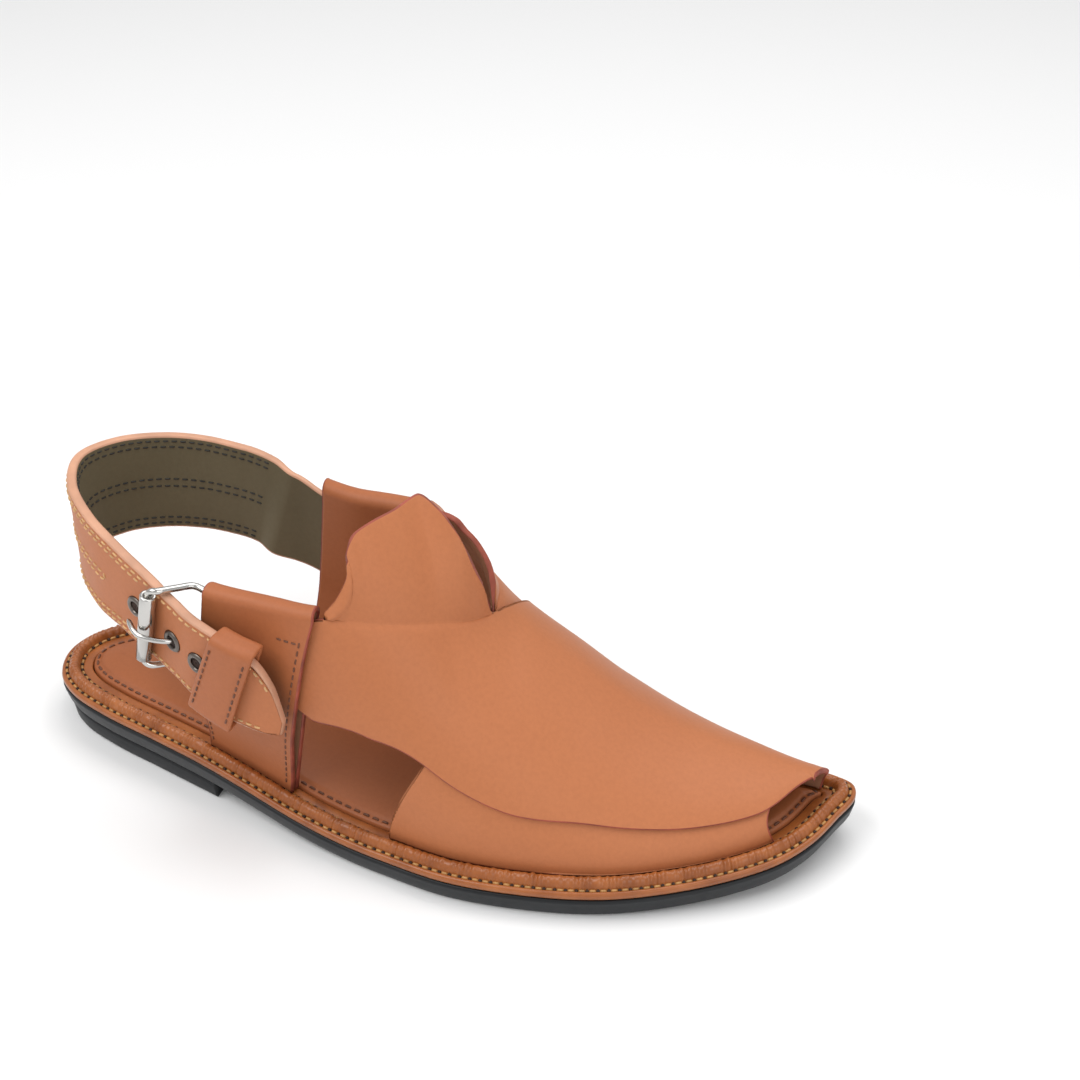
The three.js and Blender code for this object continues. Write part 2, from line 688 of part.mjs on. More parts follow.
// Middle of a stay's hollow at a place and height, and the level way out of the shoe, made
// longer where the wall leans so that the wall keeps its thickness.
function stayMiddle(x, z, side) {
  const seat = wingSeat(x);
  const rise = smoothStep((z - seat) / (0.3 * THROAT_HEIGHT));
  const wing = side < 0 ? LEATHER - WING_LAP : 0;
  const lift = mix(STAY_FOOT_LIFT, wing + LEATHER / 2, rise);
  let [atX, atZ] = [x, z];
  let point = vec(x, 0, z);
  for (let i = 0; i < 4; i += 1) {
    point = onLast(atX, turnAt(atX, atZ, side), lift);
    atX += x - point.x;
    atZ += z - point.z;
  }
  const normal = lastNormal(atX, turnAt(atX, atZ, side));
  const level = Math.hypot(normal.x, normal.y);
  const out = normal.setZ(0).divideScalar(level * Math.max(0.75, level));
  const flare = side < 0 ? STAY_FLARE_OUTER : STAY_FLARE_INNER;
  const rearward = smoothStep((-0.117 * LENGTH - x) / (0.1 * LENGTH));
  const spread = flare * rearward * smoothStep((z - seat) / STAY_FLARE_RISE);
  point.set(x, point.y + side * spread, z);
  return { point, out, half: mix(STAY_FOOT_GAP, STAY_GAP, rise) / 2 };
}

function makeStay(side) {
  const heights = [0, 0.12, 0.24, 0.38, 0.54, 0.7, 0.86, 1];
  const fold = [30, 60, 90, 120, 150];
  const columns = 6;
  const ahead = side < 0 ? 0 : INNER_STAY_AHEAD;
  const rings = Array.from({ length: columns + 1 }, (unused, i) => {
    const share = i / columns;
    const crown = STAY_HEIGHT * THROAT_HEIGHT - STAY_GAP / 2 - STAY_LEATHER;
    const level = (height) => {
      const x = (mix(stayFoot(share), stayHead(share), height) + ahead) * LENGTH;
      const z = mix(wingSeat(x), crown, height);
      return stayMiddle(x, z, side);
    };
    const wall = (height, way, thick) => {
      const { point, out, half } = level(height);
      return point.clone().addScaledVector(out, way * (half + thick));
    };
    const bend = (degrees, thick) => {
      const { point, out, half } = level(1);
      const angle = THREE.MathUtils.degToRad(degrees);
      const radius = half + thick;
      const high = vec(0, 0, radius * Math.sin(angle));
      return point.clone().addScaledVector(out, radius * Math.cos(angle)).add(high);
    };
    const path = (thick) => [
      ...heights.map((height) => wall(height, 1, thick)),
      ...fold.map((degrees) => bend(degrees, thick)),
      ...[...heights].reverse().map((height) => wall(height, -1, thick)),
    ];
    return [...path(STAY_LEATHER), ...path(0).reverse()];
  });
  return loft(rings, false, 1);
}

// Heel strap, from inside the inner stay round the heel to its tip on the outer side.
// along is a share of LENGTH, across of BALL_WIDTH, up of THROAT_HEIGHT; head and foot are the
// edges as shares of STRAP_WIDTH; hold is 1 where it lies in the hollow of the inner stay.
const strapTable = [
  { along: -0.104, across: 0.29, up: 0.542, head: 0.45, foot: -0.45, hold: 1, skive: 0 },
  { along: -0.155, across: 0.305, up: 0.584, head: 0.46, foot: -0.46, hold: 1, skive: 0 },
  { along: -0.205, across: 0.317, up: 0.624, head: 0.47, foot: -0.47, hold: 1, skive: 0 },
  { along: -0.235, across: 0.325, up: 0.648, head: 0.5, foot: -0.5, hold: 1, skive: 0 },
  { along: -0.265, across: 0.328, up: 0.671, head: 0.5, foot: -0.5, hold: 0.25, skive: 0.7 },
  { along: -0.3, across: 0.316, up: 0.692, head: 0.5, foot: -0.5, hold: 0, skive: 1 },
  { along: -0.34, across: 0.287, up: 0.717, head: 0.5, foot: -0.5, hold: 0, skive: 1 },
  { along: -0.38, across: 0.226, up: 0.744, head: 0.5, foot: -0.5, hold: 0, skive: 1 },
  { along: -0.418, across: 0.123, up: 0.768, head: 0.5, foot: -0.5, hold: 0, skive: 1 },
  { along: -0.436, across: 0, up: 0.778, head: 0.5, foot: -0.5, hold: 0, skive: 1 },
  { along: -0.418, across: -0.123, up: 0.768, head: 0.5, foot: -0.5, hold: 0, skive: 1 },
  { along: -0.375, across: -0.226, up: 0.739, head: 0.49, foot: -0.49, hold: 0, skive: 1 },
  { along: -0.323, across: -0.297, up: 0.711, head: 0.445, foot: -0.445, hold: 0, skive: 1 },
  { along: -0.274, across: -0.348, up: 0.67, head: 0.42, foot: -0.42, hold: 0, skive: 1 },
  { along: -0.246, across: -0.381, up: 0.65, head: 0.417, foot: -0.417, hold: 0, skive: 1 },
  { along: -0.215, across: -0.417, up: 0.628, head: 0.417, foot: -0.417, hold: 0, skive: 1 },
  { along: -0.17, across: -0.444, up: 0.594, head: 0.41, foot: -0.41, hold: 0, skive: 1 },
  { along: -0.145, across: -0.45, up: 0.578, head: 0.33, foot: -0.4, hold: 0, skive: 1 },
  { along: -0.12, across: -0.45, up: 0.562, head: 0.13, foot: -0.385, hold: 0, skive: 1 },
  { along: -0.1, across: -0.447, up: 0.55, head: -0.2, foot: -0.33, hold: 0, skive: 1 },
];

const strapRows = strapTable.map((row, i) => ({ ...row, at: i / (strapTable.length - 1) }));
const strapColumns = ['head', 'foot', 'hold', 'skive'].map((key) => column(strapRows, 'at', key));
const strapCurve = new THREE.CatmullRomCurve3(strapRows.map((row) => {
  return vec(row.along * LENGTH, row.across * BALL_WIDTH, row.up * THROAT_HEIGHT);
}), false, 'centripetal');

function strapFrame(t) {
  const point = strapCurve.getPoint(t);
  const tangent = strapCurve.getTangent(t);
  const up = vec(0, 0, 1).addScaledVector(tangent, -tangent.z).normalize();
  return { point, tangent, up, out: tangent.clone().cross(up).normalize() };
}

// A place on the strap: rise up its width from the middle line, out of its middle layer.
function strapPoint(t, rise, out) {
  const frame = strapFrame(t);
  const hold = strapColumns[2](t);
  const flat = frame.point.clone().addScaledVector(frame.up, rise);
  if (hold > 0) {
    const held = stayMiddle(flat.x, flat.z, 1).point;
    flat.lerp(held, hold);
  }
  return flat.addScaledVector(frame.out, out);
}

// The place on the outer side of the strap that stands over x.
function strapAt(x) {
  let [low, high] = [0.5, 1];
  for (let i = 0; i < 30; i += 1) {
    const t = (low + high) / 2;
    if (strapCurve.getPoint(t).x < x) low = t;
    else high = t;
  }
  return (low + high) / 2;
}

// Eyelets: their places as shares of LENGTH. The prong goes through the middle one.
const eyeletTable = [
  { along: -0.3 },
  { along: -0.2435 },
  { along: -0.207 },
];

// A spool round the strap's own out direction; profile rows are [radius, height].
function spool(t, profile, count) {
  const { point, tangent, up, out } = strapFrame(t);
  const rings = profile.map(([radius, height]) => Array.from({ length: count }, (unused, i) => {
    const angle = (2 * Math.PI * i) / count;
    return point.clone()
      .addScaledVector(tangent, radius * Math.cos(angle))
      .addScaledVector(up, radius * Math.sin(angle))
      .addScaledVector(out, height);
  }));
  return rings;
}

function makeStrap() {
  const steps = 32;
  const places = [-0.92, -0.4, 0.4, 0.92];
  const rings = Array.from({ length: steps + 1 }, (unused, i) => {
    const t = i / steps;
    const head = strapColumns[0](t) * STRAP_WIDTH;
    const foot = strapColumns[1](t) * STRAP_WIDTH;
    const half = mix(STRAP_PLY, STRAP_THICKNESS, strapColumns[3](t)) / 2;
    const rise = (s) => mix(foot, head, (s + 1) / 2);
    return [
      strapPoint(t, rise(-1), 0),
      ...places.map((s) => strapPoint(t, rise(s), half)),
      strapPoint(t, rise(1), 0),
      ...[...places].reverse().map((s) => strapPoint(t, rise(s), -half)),
    ];
  });
  const bore = EYELET_BORE / 2 + EYELET_BARREL + GAP;
  return eyeletTable.reduce((strap, row) => {
    const hole = loft(spool(strapAt(row.along * LENGTH), [[bore, -6], [bore, 6]], 16), false);
    return fromManifold(toManifold(strap).subtract(toManifold(hole)));
  }, loft(rings, false));
}

function makeEyelet(row) {
  const inner = EYELET_BORE / 2;
  const barrel = inner + EYELET_BARREL;
  const rim = EYELET_RIM / 2;
  const low = STRAP_THICKNESS / 2 + GAP;
  const high = low + EYELET_METAL;
  const profile = [
    [inner, high], [rim - 0.4, high], [rim, low], [barrel, low],
    [barrel, -low + 0.1], [inner, -low + 0.1],
  ];
  return loft(spool(strapAt(row.along * LENGTH), profile, 14), true);
}

// Keeper: a closed loop round the strap, its top ahead of its bottom.
const KEEPER_ALONG = -0.173;
const KEEPER_LEAN = 0.1;

function makeKeeper() {
  const tall = STRAP_WIDTH * 0.417 + KEEPER_SLACK / 2;
  const deep = (b) => STRAP_THICKNESS / 2 + (b > 0 ? KEEPER_SLACK : KEEPER_BACK_SLACK);
  const loop = (thick, shift) => {
    return [[1, 1], [1, -1], [-1, -1], [-1, 1]].flatMap(([a, b], quarter) => [0, 45, 90].map((step) => {
      const angle = THREE.MathUtils.degToRad(quarter * 90 + step);
      const rise = a * (tall - 1) + (1 + thick) * Math.sin(angle);
      const out = b * (deep(b) - 1) + (1 + thick) * Math.cos(angle);
      const x = KEEPER_ALONG * LENGTH + shift + rise * KEEPER_LEAN;
      return strapPoint(strapAt(x), rise, out);
    }));
  };
  const half = KEEPER_WIDTH / 2;
  return loft([
    loop(0, -half), loop(0, half), loop(KEEPER_LEATHER, half), loop(KEEPER_LEATHER, -half),
  ], true);
}

// Round wire along a path; aside is a direction that the path never follows.
function wire(points, radius, closed, steps, aside) {
  const curve = new THREE.CatmullRomCurve3(points, closed, 'centripetal');
  const count = closed ? steps : steps + 1;
  const rings = Array.from({ length: count }, (unused, i) => {
    const t = i / steps;
    const point = curve.getPointAt(t);
    const tangent = curve.getTangentAt(t);
    const a = aside.clone().addScaledVector(tangent, -aside.dot(tangent)).normalize();
    const b = tangent.clone().cross(a);
    return Array.from({ length: 8 }, (unusedPoint, k) => {
      const angle = (2 * Math.PI * (k + 0.5)) / 8;
      return point.clone()
        .addScaledVector(a, radius * Math.cos(angle))
        .addScaledVector(b, radius * Math.sin(angle));
    });
  });
  return loft(rings, closed);
}

// Buckle: a wire frame from the hollow of the outer stay back to the roller on the strap.
const BUCKLE_FRONT = -0.188;
const BUCKLE_ROLLER = -0.274;
const rollerSeat = strapFrame(strapAt(BUCKLE_ROLLER * LENGTH));
const rollerCentre = rollerSeat.point.clone()
  .addScaledVector(rollerSeat.out, STRAP_THICKNESS / 2 + GAP + ROLLER_RADIUS);

// Places in the frame: share runs from the roller (0) to the front bar (1), rise up the strap.
function framePlace(share, rise) {
  const front = vec(BUCKLE_FRONT * LENGTH, 0, 0);
  front.z = strapCurve.getPoint(strapAt(front.x)).z;
  const place = rollerCentre.clone().lerp(front, share).addScaledVector(rollerSeat.up, rise);
  const flat = rollerCentre.y + rollerSeat.up.y * rise;
  const held = stayMiddle(place.x, place.z, -1).point.y;
  place.y = mix(flat, held, smoothStep((share - 0.04) / 0.44));
  return place;
}

function buckleFramePath() {
  const half = BUCKLE_HEIGHT / 2;
  const corner = BUCKLE_CORNER;
  const turn = corner / (BUCKLE_FRONT - BUCKLE_ROLLER) / LENGTH;
  const arm = [turn, 0.25, 0.4, 0.55, 0.75, 1 - turn];
  const bar = [corner - half, -half / 2, 0, half / 2, half - corner];
  const bend = corner * 0.3;
  const lean = turn * 0.3;
  return [
    ...bar.map((rise) => framePlace(0, rise)),
    framePlace(lean, half - bend),
    ...arm.map((share) => framePlace(share, half)),
    framePlace(1 - lean, half - bend),
    ...[...bar].reverse().map((rise) => framePlace(1, rise)),
    framePlace(1 - lean, bend - half),
    ...[...arm].reverse().map((share) => framePlace(share, -half)),
    framePlace(lean, bend - half),
  ];
}

function makeRoller() {
  const bore = WIRE / 2 + GAP;
  const profile = [[bore, -1], [bore, 1], [ROLLER_RADIUS, 1], [ROLLER_RADIUS, -1]];
  const { tangent, up, out } = rollerSeat;
  const rings = profile.map(([radius, end]) => Array.from({ length: 16 }, (unused, i) => {
    const angle = (2 * Math.PI * i) / 16;
    return rollerCentre.clone()
      .addScaledVector(tangent, radius * Math.cos(angle))
      .addScaledVector(out, radius * Math.sin(angle))
      .addScaledVector(up, (end * ROLLER_LENGTH) / 2);
  }));
  return loft(rings, true);
}

function makeProng() {
  const hole = strapFrame(strapAt(eyeletTable[1].along * LENGTH));
  const through = hole.out.clone().addScaledVector(hole.tangent, -0.3).normalize();
  const over = ROLLER_RADIUS + PRONG_WIRE / 2 + GAP + 0.2;
  return wire([
    framePlace(0.86, 0.5),
    framePlace(0.74, 0.5),
    framePlace(0.6, 0.5),
    hole.point.clone().addScaledVector(through, -STRAP_THICKNESS),
    hole.point.clone(),
    hole.point.clone().addScaledVector(through, STRAP_THICKNESS),
    rollerCentre.clone().addScaledVector(rollerSeat.out, over).addScaledVector(rollerSeat.tangent, 2),
    rollerCentre.clone().addScaledVector(rollerSeat.out, over).addScaledVector(rollerSeat.tangent, -1),
    rollerCentre.clone().addScaledVector(rollerSeat.out, over - 1.6).addScaledVector(rollerSeat.tangent, -6),
  ], PRONG_WIRE / 2, false, 18, vec(0, 0, 1));
}

const pieces = {
  outsole: { geometry: makeOutsole(), color: '#2b2d2f', roughness: 0.55, metalness: 0 },
  heel: { geometry: makeHeel(), color: '#2b2d2f', roughness: 0.55, metalness: 0 },
  welt: { geometry: makeWelt(), color: '#b5652e', roughness: 0.4, metalness: 0 },
  insole: { geometry: makeInsole(), color: '#b06a45', roughness: 0.55, metalness: 0 },
  upper: { geometry: makeUpper(), color: '#c27a50', roughness: 0.55, metalness: 0 },
  stay_lateral: { geometry: makeStay(-1), color: '#b97248', roughness: 0.55, metalness: 0 },
  stay_medial: { geometry: makeStay(1), color: '#b97248', roughness: 0.55, metalness: 0 },
  heel_strap: { geometry: makeStrap(), color: '#c27a50', roughness: 0.55, metalness: 0 },
  keeper: { geometry: makeKeeper(), color: '#b97248', roughness: 0.55, metalness: 0 },
  buckle_frame: {
    geometry: wire(buckleFramePath(), WIRE / 2, true, 40, vec(0, 1, 0)),
    color: '#c9c9c6',
    roughness: 0.2,
    metalness: 1,
  },
  buckle_roller: { geometry: makeRoller(), color: '#c9c9c6', roughness: 0.2, metalness: 1 },
  buckle_prong: { geometry: makeProng(), color: '#c9c9c6', roughness: 0.2, metalness: 1 },
};
eyeletTable.forEach((row, i) => {
  pieces[`eyelet_${i + 1}`] = { geometry: makeEyelet(row), color: '#4a4643', roughness: 0.35, metalness: 1 };
});

// The origin is under the middle of the sole's overall width and length.
const extent = new THREE.Box3().setFromPoints(outline.samples);
const middle = extent.getCenter(vec(0, 0, 0));

const shoe = new THREE.Group();
Object.entries(pieces).forEach(([name, piece]) => {
  const { geometry, color, roughness, metalness } = piece;
  geometry.translate(-middle.x, -middle.y, 0);
  geometry.computeVertexNormals();
  const mesh = new THREE.Mesh(geometry, new THREE.MeshStandardMaterial({ color, roughness, metalness }));
  mesh.name = name;
  shoe.add(mesh);
});

export default shoe;
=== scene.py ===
"""Looks of a peshawari chappal, right shoe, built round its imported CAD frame.

Lengths inside the functions are millimetres in the frame's axes: +X toe, +Y inner side, +Z up.
"""

import math

import bmesh
import bpy
import numpy as np
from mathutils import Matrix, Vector


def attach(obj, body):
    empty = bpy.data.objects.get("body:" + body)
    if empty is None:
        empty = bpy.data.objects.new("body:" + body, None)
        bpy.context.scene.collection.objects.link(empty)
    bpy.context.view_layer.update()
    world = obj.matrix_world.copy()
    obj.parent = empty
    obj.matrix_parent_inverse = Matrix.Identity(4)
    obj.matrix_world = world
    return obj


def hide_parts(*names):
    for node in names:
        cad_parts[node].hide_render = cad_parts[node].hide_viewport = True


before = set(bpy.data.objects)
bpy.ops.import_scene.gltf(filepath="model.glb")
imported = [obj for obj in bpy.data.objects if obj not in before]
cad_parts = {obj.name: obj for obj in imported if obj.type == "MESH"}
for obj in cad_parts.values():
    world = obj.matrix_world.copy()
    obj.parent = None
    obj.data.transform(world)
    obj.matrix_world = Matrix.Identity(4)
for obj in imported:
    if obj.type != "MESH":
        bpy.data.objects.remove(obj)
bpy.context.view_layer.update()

# ---- real sizes, the same as the solids' ----
LENGTH, BALL, THROAT = 285.0, 113.0, 111.0
OUTSOLE, HEEL, SPRING, HEEL_LENGTH = 8.0, 7.5, 7.5, 76.0
DRAFT, GAP = 1.6, 0.35
WELT_WIDTH, WELT_HEIGHT, FLANGE = 11.0, 5.5, 2.6
INSOLE, CROWN = 4.4, 1.4
LEATHER, LAP, SEAT_INSET, RIDGE_Y = 2.0, 0.5, 9.7, 4.0
STAY_T, STAY_GAP, STAY_FOOT, STAY_TOP = 1.8, 3.6, 0.4, 0.82
STRAP_W, STRAP_T, PLY = 37.0, 3.2, 2.0
WIRE, ROLLER_R, ROLLER_L, BUCKLE_H = 2.2, 2.6, 29.4, 35.0
PRONG = 1.8
FLAP_BULGE, FLAP_LEAN, CREASE_DEPTH = 0.014, 0.013, 0.45
FLARE_OUTER, FLARE_INNER, FLARE_RISE, INNER_STAY_AHEAD = 3.0, 6.2, 32, 0.035
KEEPER_AT, MIDDLE_ROW_END, FIRST_ROW, SECOND_ROW, MIDDLE_HALF = -0.173, 0.6, 2.2, 4.4, 1.4
ROUND = 40  # points round the roller
FOCAL_PX, PHOTO_PX, AZIMUTH, ELEVATION = 1749, 1080, 18.11, 34.01


def clamp01(t):
    return np.clip(t, 0.0, 1.0)


def smooth(t):
    t = clamp01(t)
    return t * t * (3 - 2 * t)


def mix(a, b, t):
    return a + (b - a) * t


def unit(v):
    v = np.asarray(v, float)
    return v / np.maximum(np.linalg.norm(v, axis=-1, keepdims=True), 1e-12)


def column(xs, ys):
    """Monotone smooth curve through a table's column."""
    xs, ys = np.asarray(xs, float), np.asarray(ys, float)
    d = np.diff(ys) / np.diff(xs)
    s = np.empty_like(ys)
    s[0], s[-1] = d[0], d[-1]
    for i in range(1, len(ys) - 1):
        s[i] = 0 if d[i - 1] * d[i] <= 0 else 2 * d[i - 1] * d[i] / (d[i - 1] + d[i])

    def at(v):
        u = np.clip(v, xs[0], xs[-1])
        i = np.clip(np.searchsorted(xs, u, side="left") - 1, 0, len(xs) - 2)
        h = xs[i + 1] - xs[i]
        t = (u - xs[i]) / h
        return ((1 + 2 * t) * (1 - t) ** 2 * ys[i] + t * (1 - t) ** 2 * h * s[i]
                + t * t * (3 - 2 * t) * ys[i + 1] + t * t * (t - 1) * h * s[i + 1])
    return at


class Spline:
    """Centripetal Catmull-Rom curve, open or closed."""

    def __init__(self, points, closed=False, dense=40):
        self.p, self.closed = np.asarray(points, float), closed
        spans = len(self.p) if closed else len(self.p) - 1
        self.spans = spans
        self.t = np.linspace(0, 1, spans * dense + 1)
        self.q = self.point(self.t)
        step = np.linalg.norm(np.diff(self.q, axis=0), axis=1)
        self.reach = np.r_[0, np.cumsum(step)]
        self.length = self.reach[-1]

    def point(self, t):
        t = np.atleast_1d(np.asarray(t, float))
        p, n = self.p, len(self.p)
        u = np.clip(t, 0, 1) * self.spans
        i = np.minimum(np.floor(u).astype(int), self.spans - 1)
        w = (u - i)[:, None]
        if self.closed:
            p0, p1, p2, p3 = (p[(i + k) % n] for k in (-1, 0, 1, 2))
        else:
            ext = np.vstack([2 * p[0] - p[1], p, 2 * p[-1] - p[-2]])
            p0, p1, p2, p3 = (ext[i + k] for k in (0, 1, 2, 3))
        d0, d1, d2 = (np.maximum(np.linalg.norm(b - a, axis=1), 1e-9)[:, None] ** 0.5
                      for a, b in ((p0, p1), (p1, p2), (p2, p3)))
        t1 = ((p1 - p0) / d0 - (p2 - p0) / (d0 + d1) + (p2 - p1) / d1) * d1
        t2 = ((p2 - p1) / d1 - (p3 - p1) / (d1 + d2) + (p3 - p2) / d2) * d1
        return (p1 + t1 * w + (-3 * p1 + 3 * p2 - 2 * t1 - t2) * w ** 2
                + (2 * p1 - 2 * p2 + t1 + t2) * w ** 3)

    def at(self, share):
        """Points at shares of the length."""
        t = np.interp(np.asarray(share, float) * self.length, self.reach, self.t)
        return self.point(t)

    def tangent(self, t, eps=1e-4):
        return unit(self.point(np.clip(np.asarray(t) + eps, 0, 1)) - self.point(np.clip(np.asarray(t) - eps,
                0, 1)))


# ---- outline of the sole ----
OUTLINE = [
    (-0.5, 0), (-0.486, -0.11), (-0.455, -0.18), (-0.4, -0.238), (-0.33, -0.288), (-0.25, -0.345),
    (-0.186, -0.39), (-0.1, -0.448), (0, -0.494), (0.09, -0.52), (0.19, -0.494), (0.265, -0.445),
    (0.33, -0.374), (0.395, -0.28), (0.437, -0.197), (0.466, -0.1), (0.486, 0.015), (0.4985, 0.1),
    (0.493, 0.15), (0.47, 0.184), (0.435, 0.21), (0.38, 0.27), (0.32, 0.338), (0.26, 0.4),
    (0.19, 0.452), (0.11, 0.472), (0.04, 0.458), (-0.03, 0.415), (-0.09, 0.368), (-0.16, 0.334),
    (-0.24, 0.316), (-0.33, 0.292), (-0.4, 0.255), (-0.455, 0.19), (-0.488, 0.105),
]
TOE_ROW = 17
COUNT = 1800
outline = Spline([(a * LENGTH, c * BALL, 0) for a, c in OUTLINE], closed=True, dense=60)
RIM = outline.at(np.arange(COUNT) / COUNT)
_t = unit(np.roll(RIM, -1, 0) - np.roll(RIM, 1, 0))
_in = np.c_[-_t[:, 1], _t[:, 0], np.zeros(COUNT)]
_w = int(round(15 * COUNT / outline.length))
_sum = unit(sum(np.roll(_in, k, 0) for k in range(-_w, _w + 1)))
SOFT = _sum / np.maximum(0.85, (_sum * _in).sum(1))[:, None]
MIDDLE = np.array([(RIM[:, 0].max() + RIM[:, 0].min()) / 2, (RIM[:, 1].max() + RIM[:, 1].min()) / 2, 0])
TOE = int(np.argmin(np.linalg.norm(RIM - np.array([OUTLINE[TOE_ROW][0] * LENGTH, OUTLINE[TOE_ROW][1] * BALL,
        0]), axis=1)))


def rim(inset):
    return RIM + SOFT * inset


def side_line(side, inset):
    p = rim(inset)
    idx = np.arange(0, TOE + 1) if side < 0 else np.r_[0, np.arange(COUNT - 1, TOE - 1, -1)]
    x, y = p[idx, 0], p[idx, 1]
    keep = np.r_[True, x[1:] > np.maximum.accumulate(x)[:-1] + 1e-9]
    return lambda v: np.interp(v, x[keep], y[keep])


def sole_top(x):
    a = -0.28 * LENGTH
    drop = smooth((x - a) / (0 - a))
    spring = clamp01((x - 0.22 * LENGTH) / (0.28 * LENGTH)) ** 2
    return OUTSOLE + HEEL * (1 - drop) + SPRING * spring


# ---- the last ----
_l = np.array([
    (-0.34, 1.567, 3.9, 3.9), (-0.21, 1.3, 3.6, 3.4), (-0.077, 1, 3.3, 3), (0, 0.825, 2.7, 2.3),
    (0.077, 0.629, 2.2, 1.75), (0.15, 0.502, 2, 1.6), (0.203, 0.417, 1.9, 1.5), (0.263, 0.338, 1.9, 1.5),
    (0.326, 0.285, 1.9, 1.6), (0.39, 0.258, 2, 1.8), (0.435, 0.247, 2.1, 1.9), (0.48, 0.237, 2.2, 2),
])
ridge, outer_sq, inner_sq = (column(_l[:, 0], _l[:, k]) for k in (1, 2, 3))
outer_line, inner_line = side_line(-1, SEAT_INSET), side_line(1, SEAT_INSET)


def seat(x):
    return sole_top(x) + 2 * GAP + FLANGE


def last_point(x, turn):
    x, turn = np.broadcast_arrays(np.asarray(x, float), np.asarray(turn, float))
    at = x / LENGTH
    low = turn < 0
    y = np.where(low, outer_line(x), inner_line(x))
    sq = np.where(low, outer_sq(at), inner_sq(at))
    ang = np.minimum(np.abs(turn), 1) * math.pi / 2
    z0 = seat(x)
    return np.stack([
        x, mix(RIDGE_Y, y, np.sin(ang) ** (2 / sq)),
        z0 + (ridge(at) * THROAT - z0) * np.maximum(np.cos(ang), 0) ** (2 / sq)], -1)


def last_normal(x, turn):
    t = np.clip(turn, -0.985, 0.985)
    n = unit(np.cross(last_point(x + 1, t) - last_point(x - 1, t),
            last_point(x, t + 0.012) - last_point(x, t - 0.012)))
    flat = n.copy()
    flat[..., 2] = 0
    return np.where((np.abs(turn) > 0.985)[..., None], unit(flat), n)


def on_last(x, turn, lift):
    return last_point(x, turn) + last_normal(x, turn) * np.asarray(lift)[..., None]


def turn_at(x, z, side):
    at = x / LENGTH
    z0 = seat(x)
    share = clamp01((z - z0) / (ridge(at) * THROAT - z0))
    sq = outer_sq(at) if side < 0 else inner_sq(at)
    return side * np.arccos(share ** (sq / 2)) / (math.pi / 2)


# ---- mesh tools ----


def build(name, verts, faces, mats, replaces=(), kinds=None, smooth_shade=True, merge=0.0):
    mesh = bpy.data.meshes.new(name)
    mesh.from_pydata(((np.asarray(verts, float) - MIDDLE) / 1000).tolist(), [],
            [tuple(int(i) for i in f) for f in faces])
    for m in mats:
        mesh.materials.append(m)
    if kinds is not None:
        mesh.polygons.foreach_set("material_index", np.asarray(kinds, dtype=np.int32))
    mesh.polygons.foreach_set("use_smooth", [smooth_shade] * len(mesh.polygons))
    if merge:
        bm = bmesh.new()
        bm.from_mesh(mesh)
        bmesh.ops.remove_doubles(bm, verts=bm.verts, dist=merge)
        bmesh.ops.dissolve_degenerate(bm, edges=bm.edges, dist=merge * 0.5)
        bmesh.ops.recalc_face_normals(bm, faces=bm.faces)
        bm.to_mesh(mesh)
        bm.free()
    mesh.update()
    obj = bpy.data.objects.new(name, mesh)
    bpy.context.scene.collection.objects.link(obj)
    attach(obj, "root")
    if replaces:
        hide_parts(*replaces)
    return obj


def grid_faces(n, m, base=0, flip=False, wrap=False):
    out = []
    cols = m if wrap else m - 1
    for i in range(n - 1):
        for j in range(cols):
            k = (j + 1) % m
            f = (base + i * m + j, base + i * m + k, base + (i + 1) * m + k, base + (i + 1) * m + j)
            out.append(f[::-1] if flip else f)
    return out


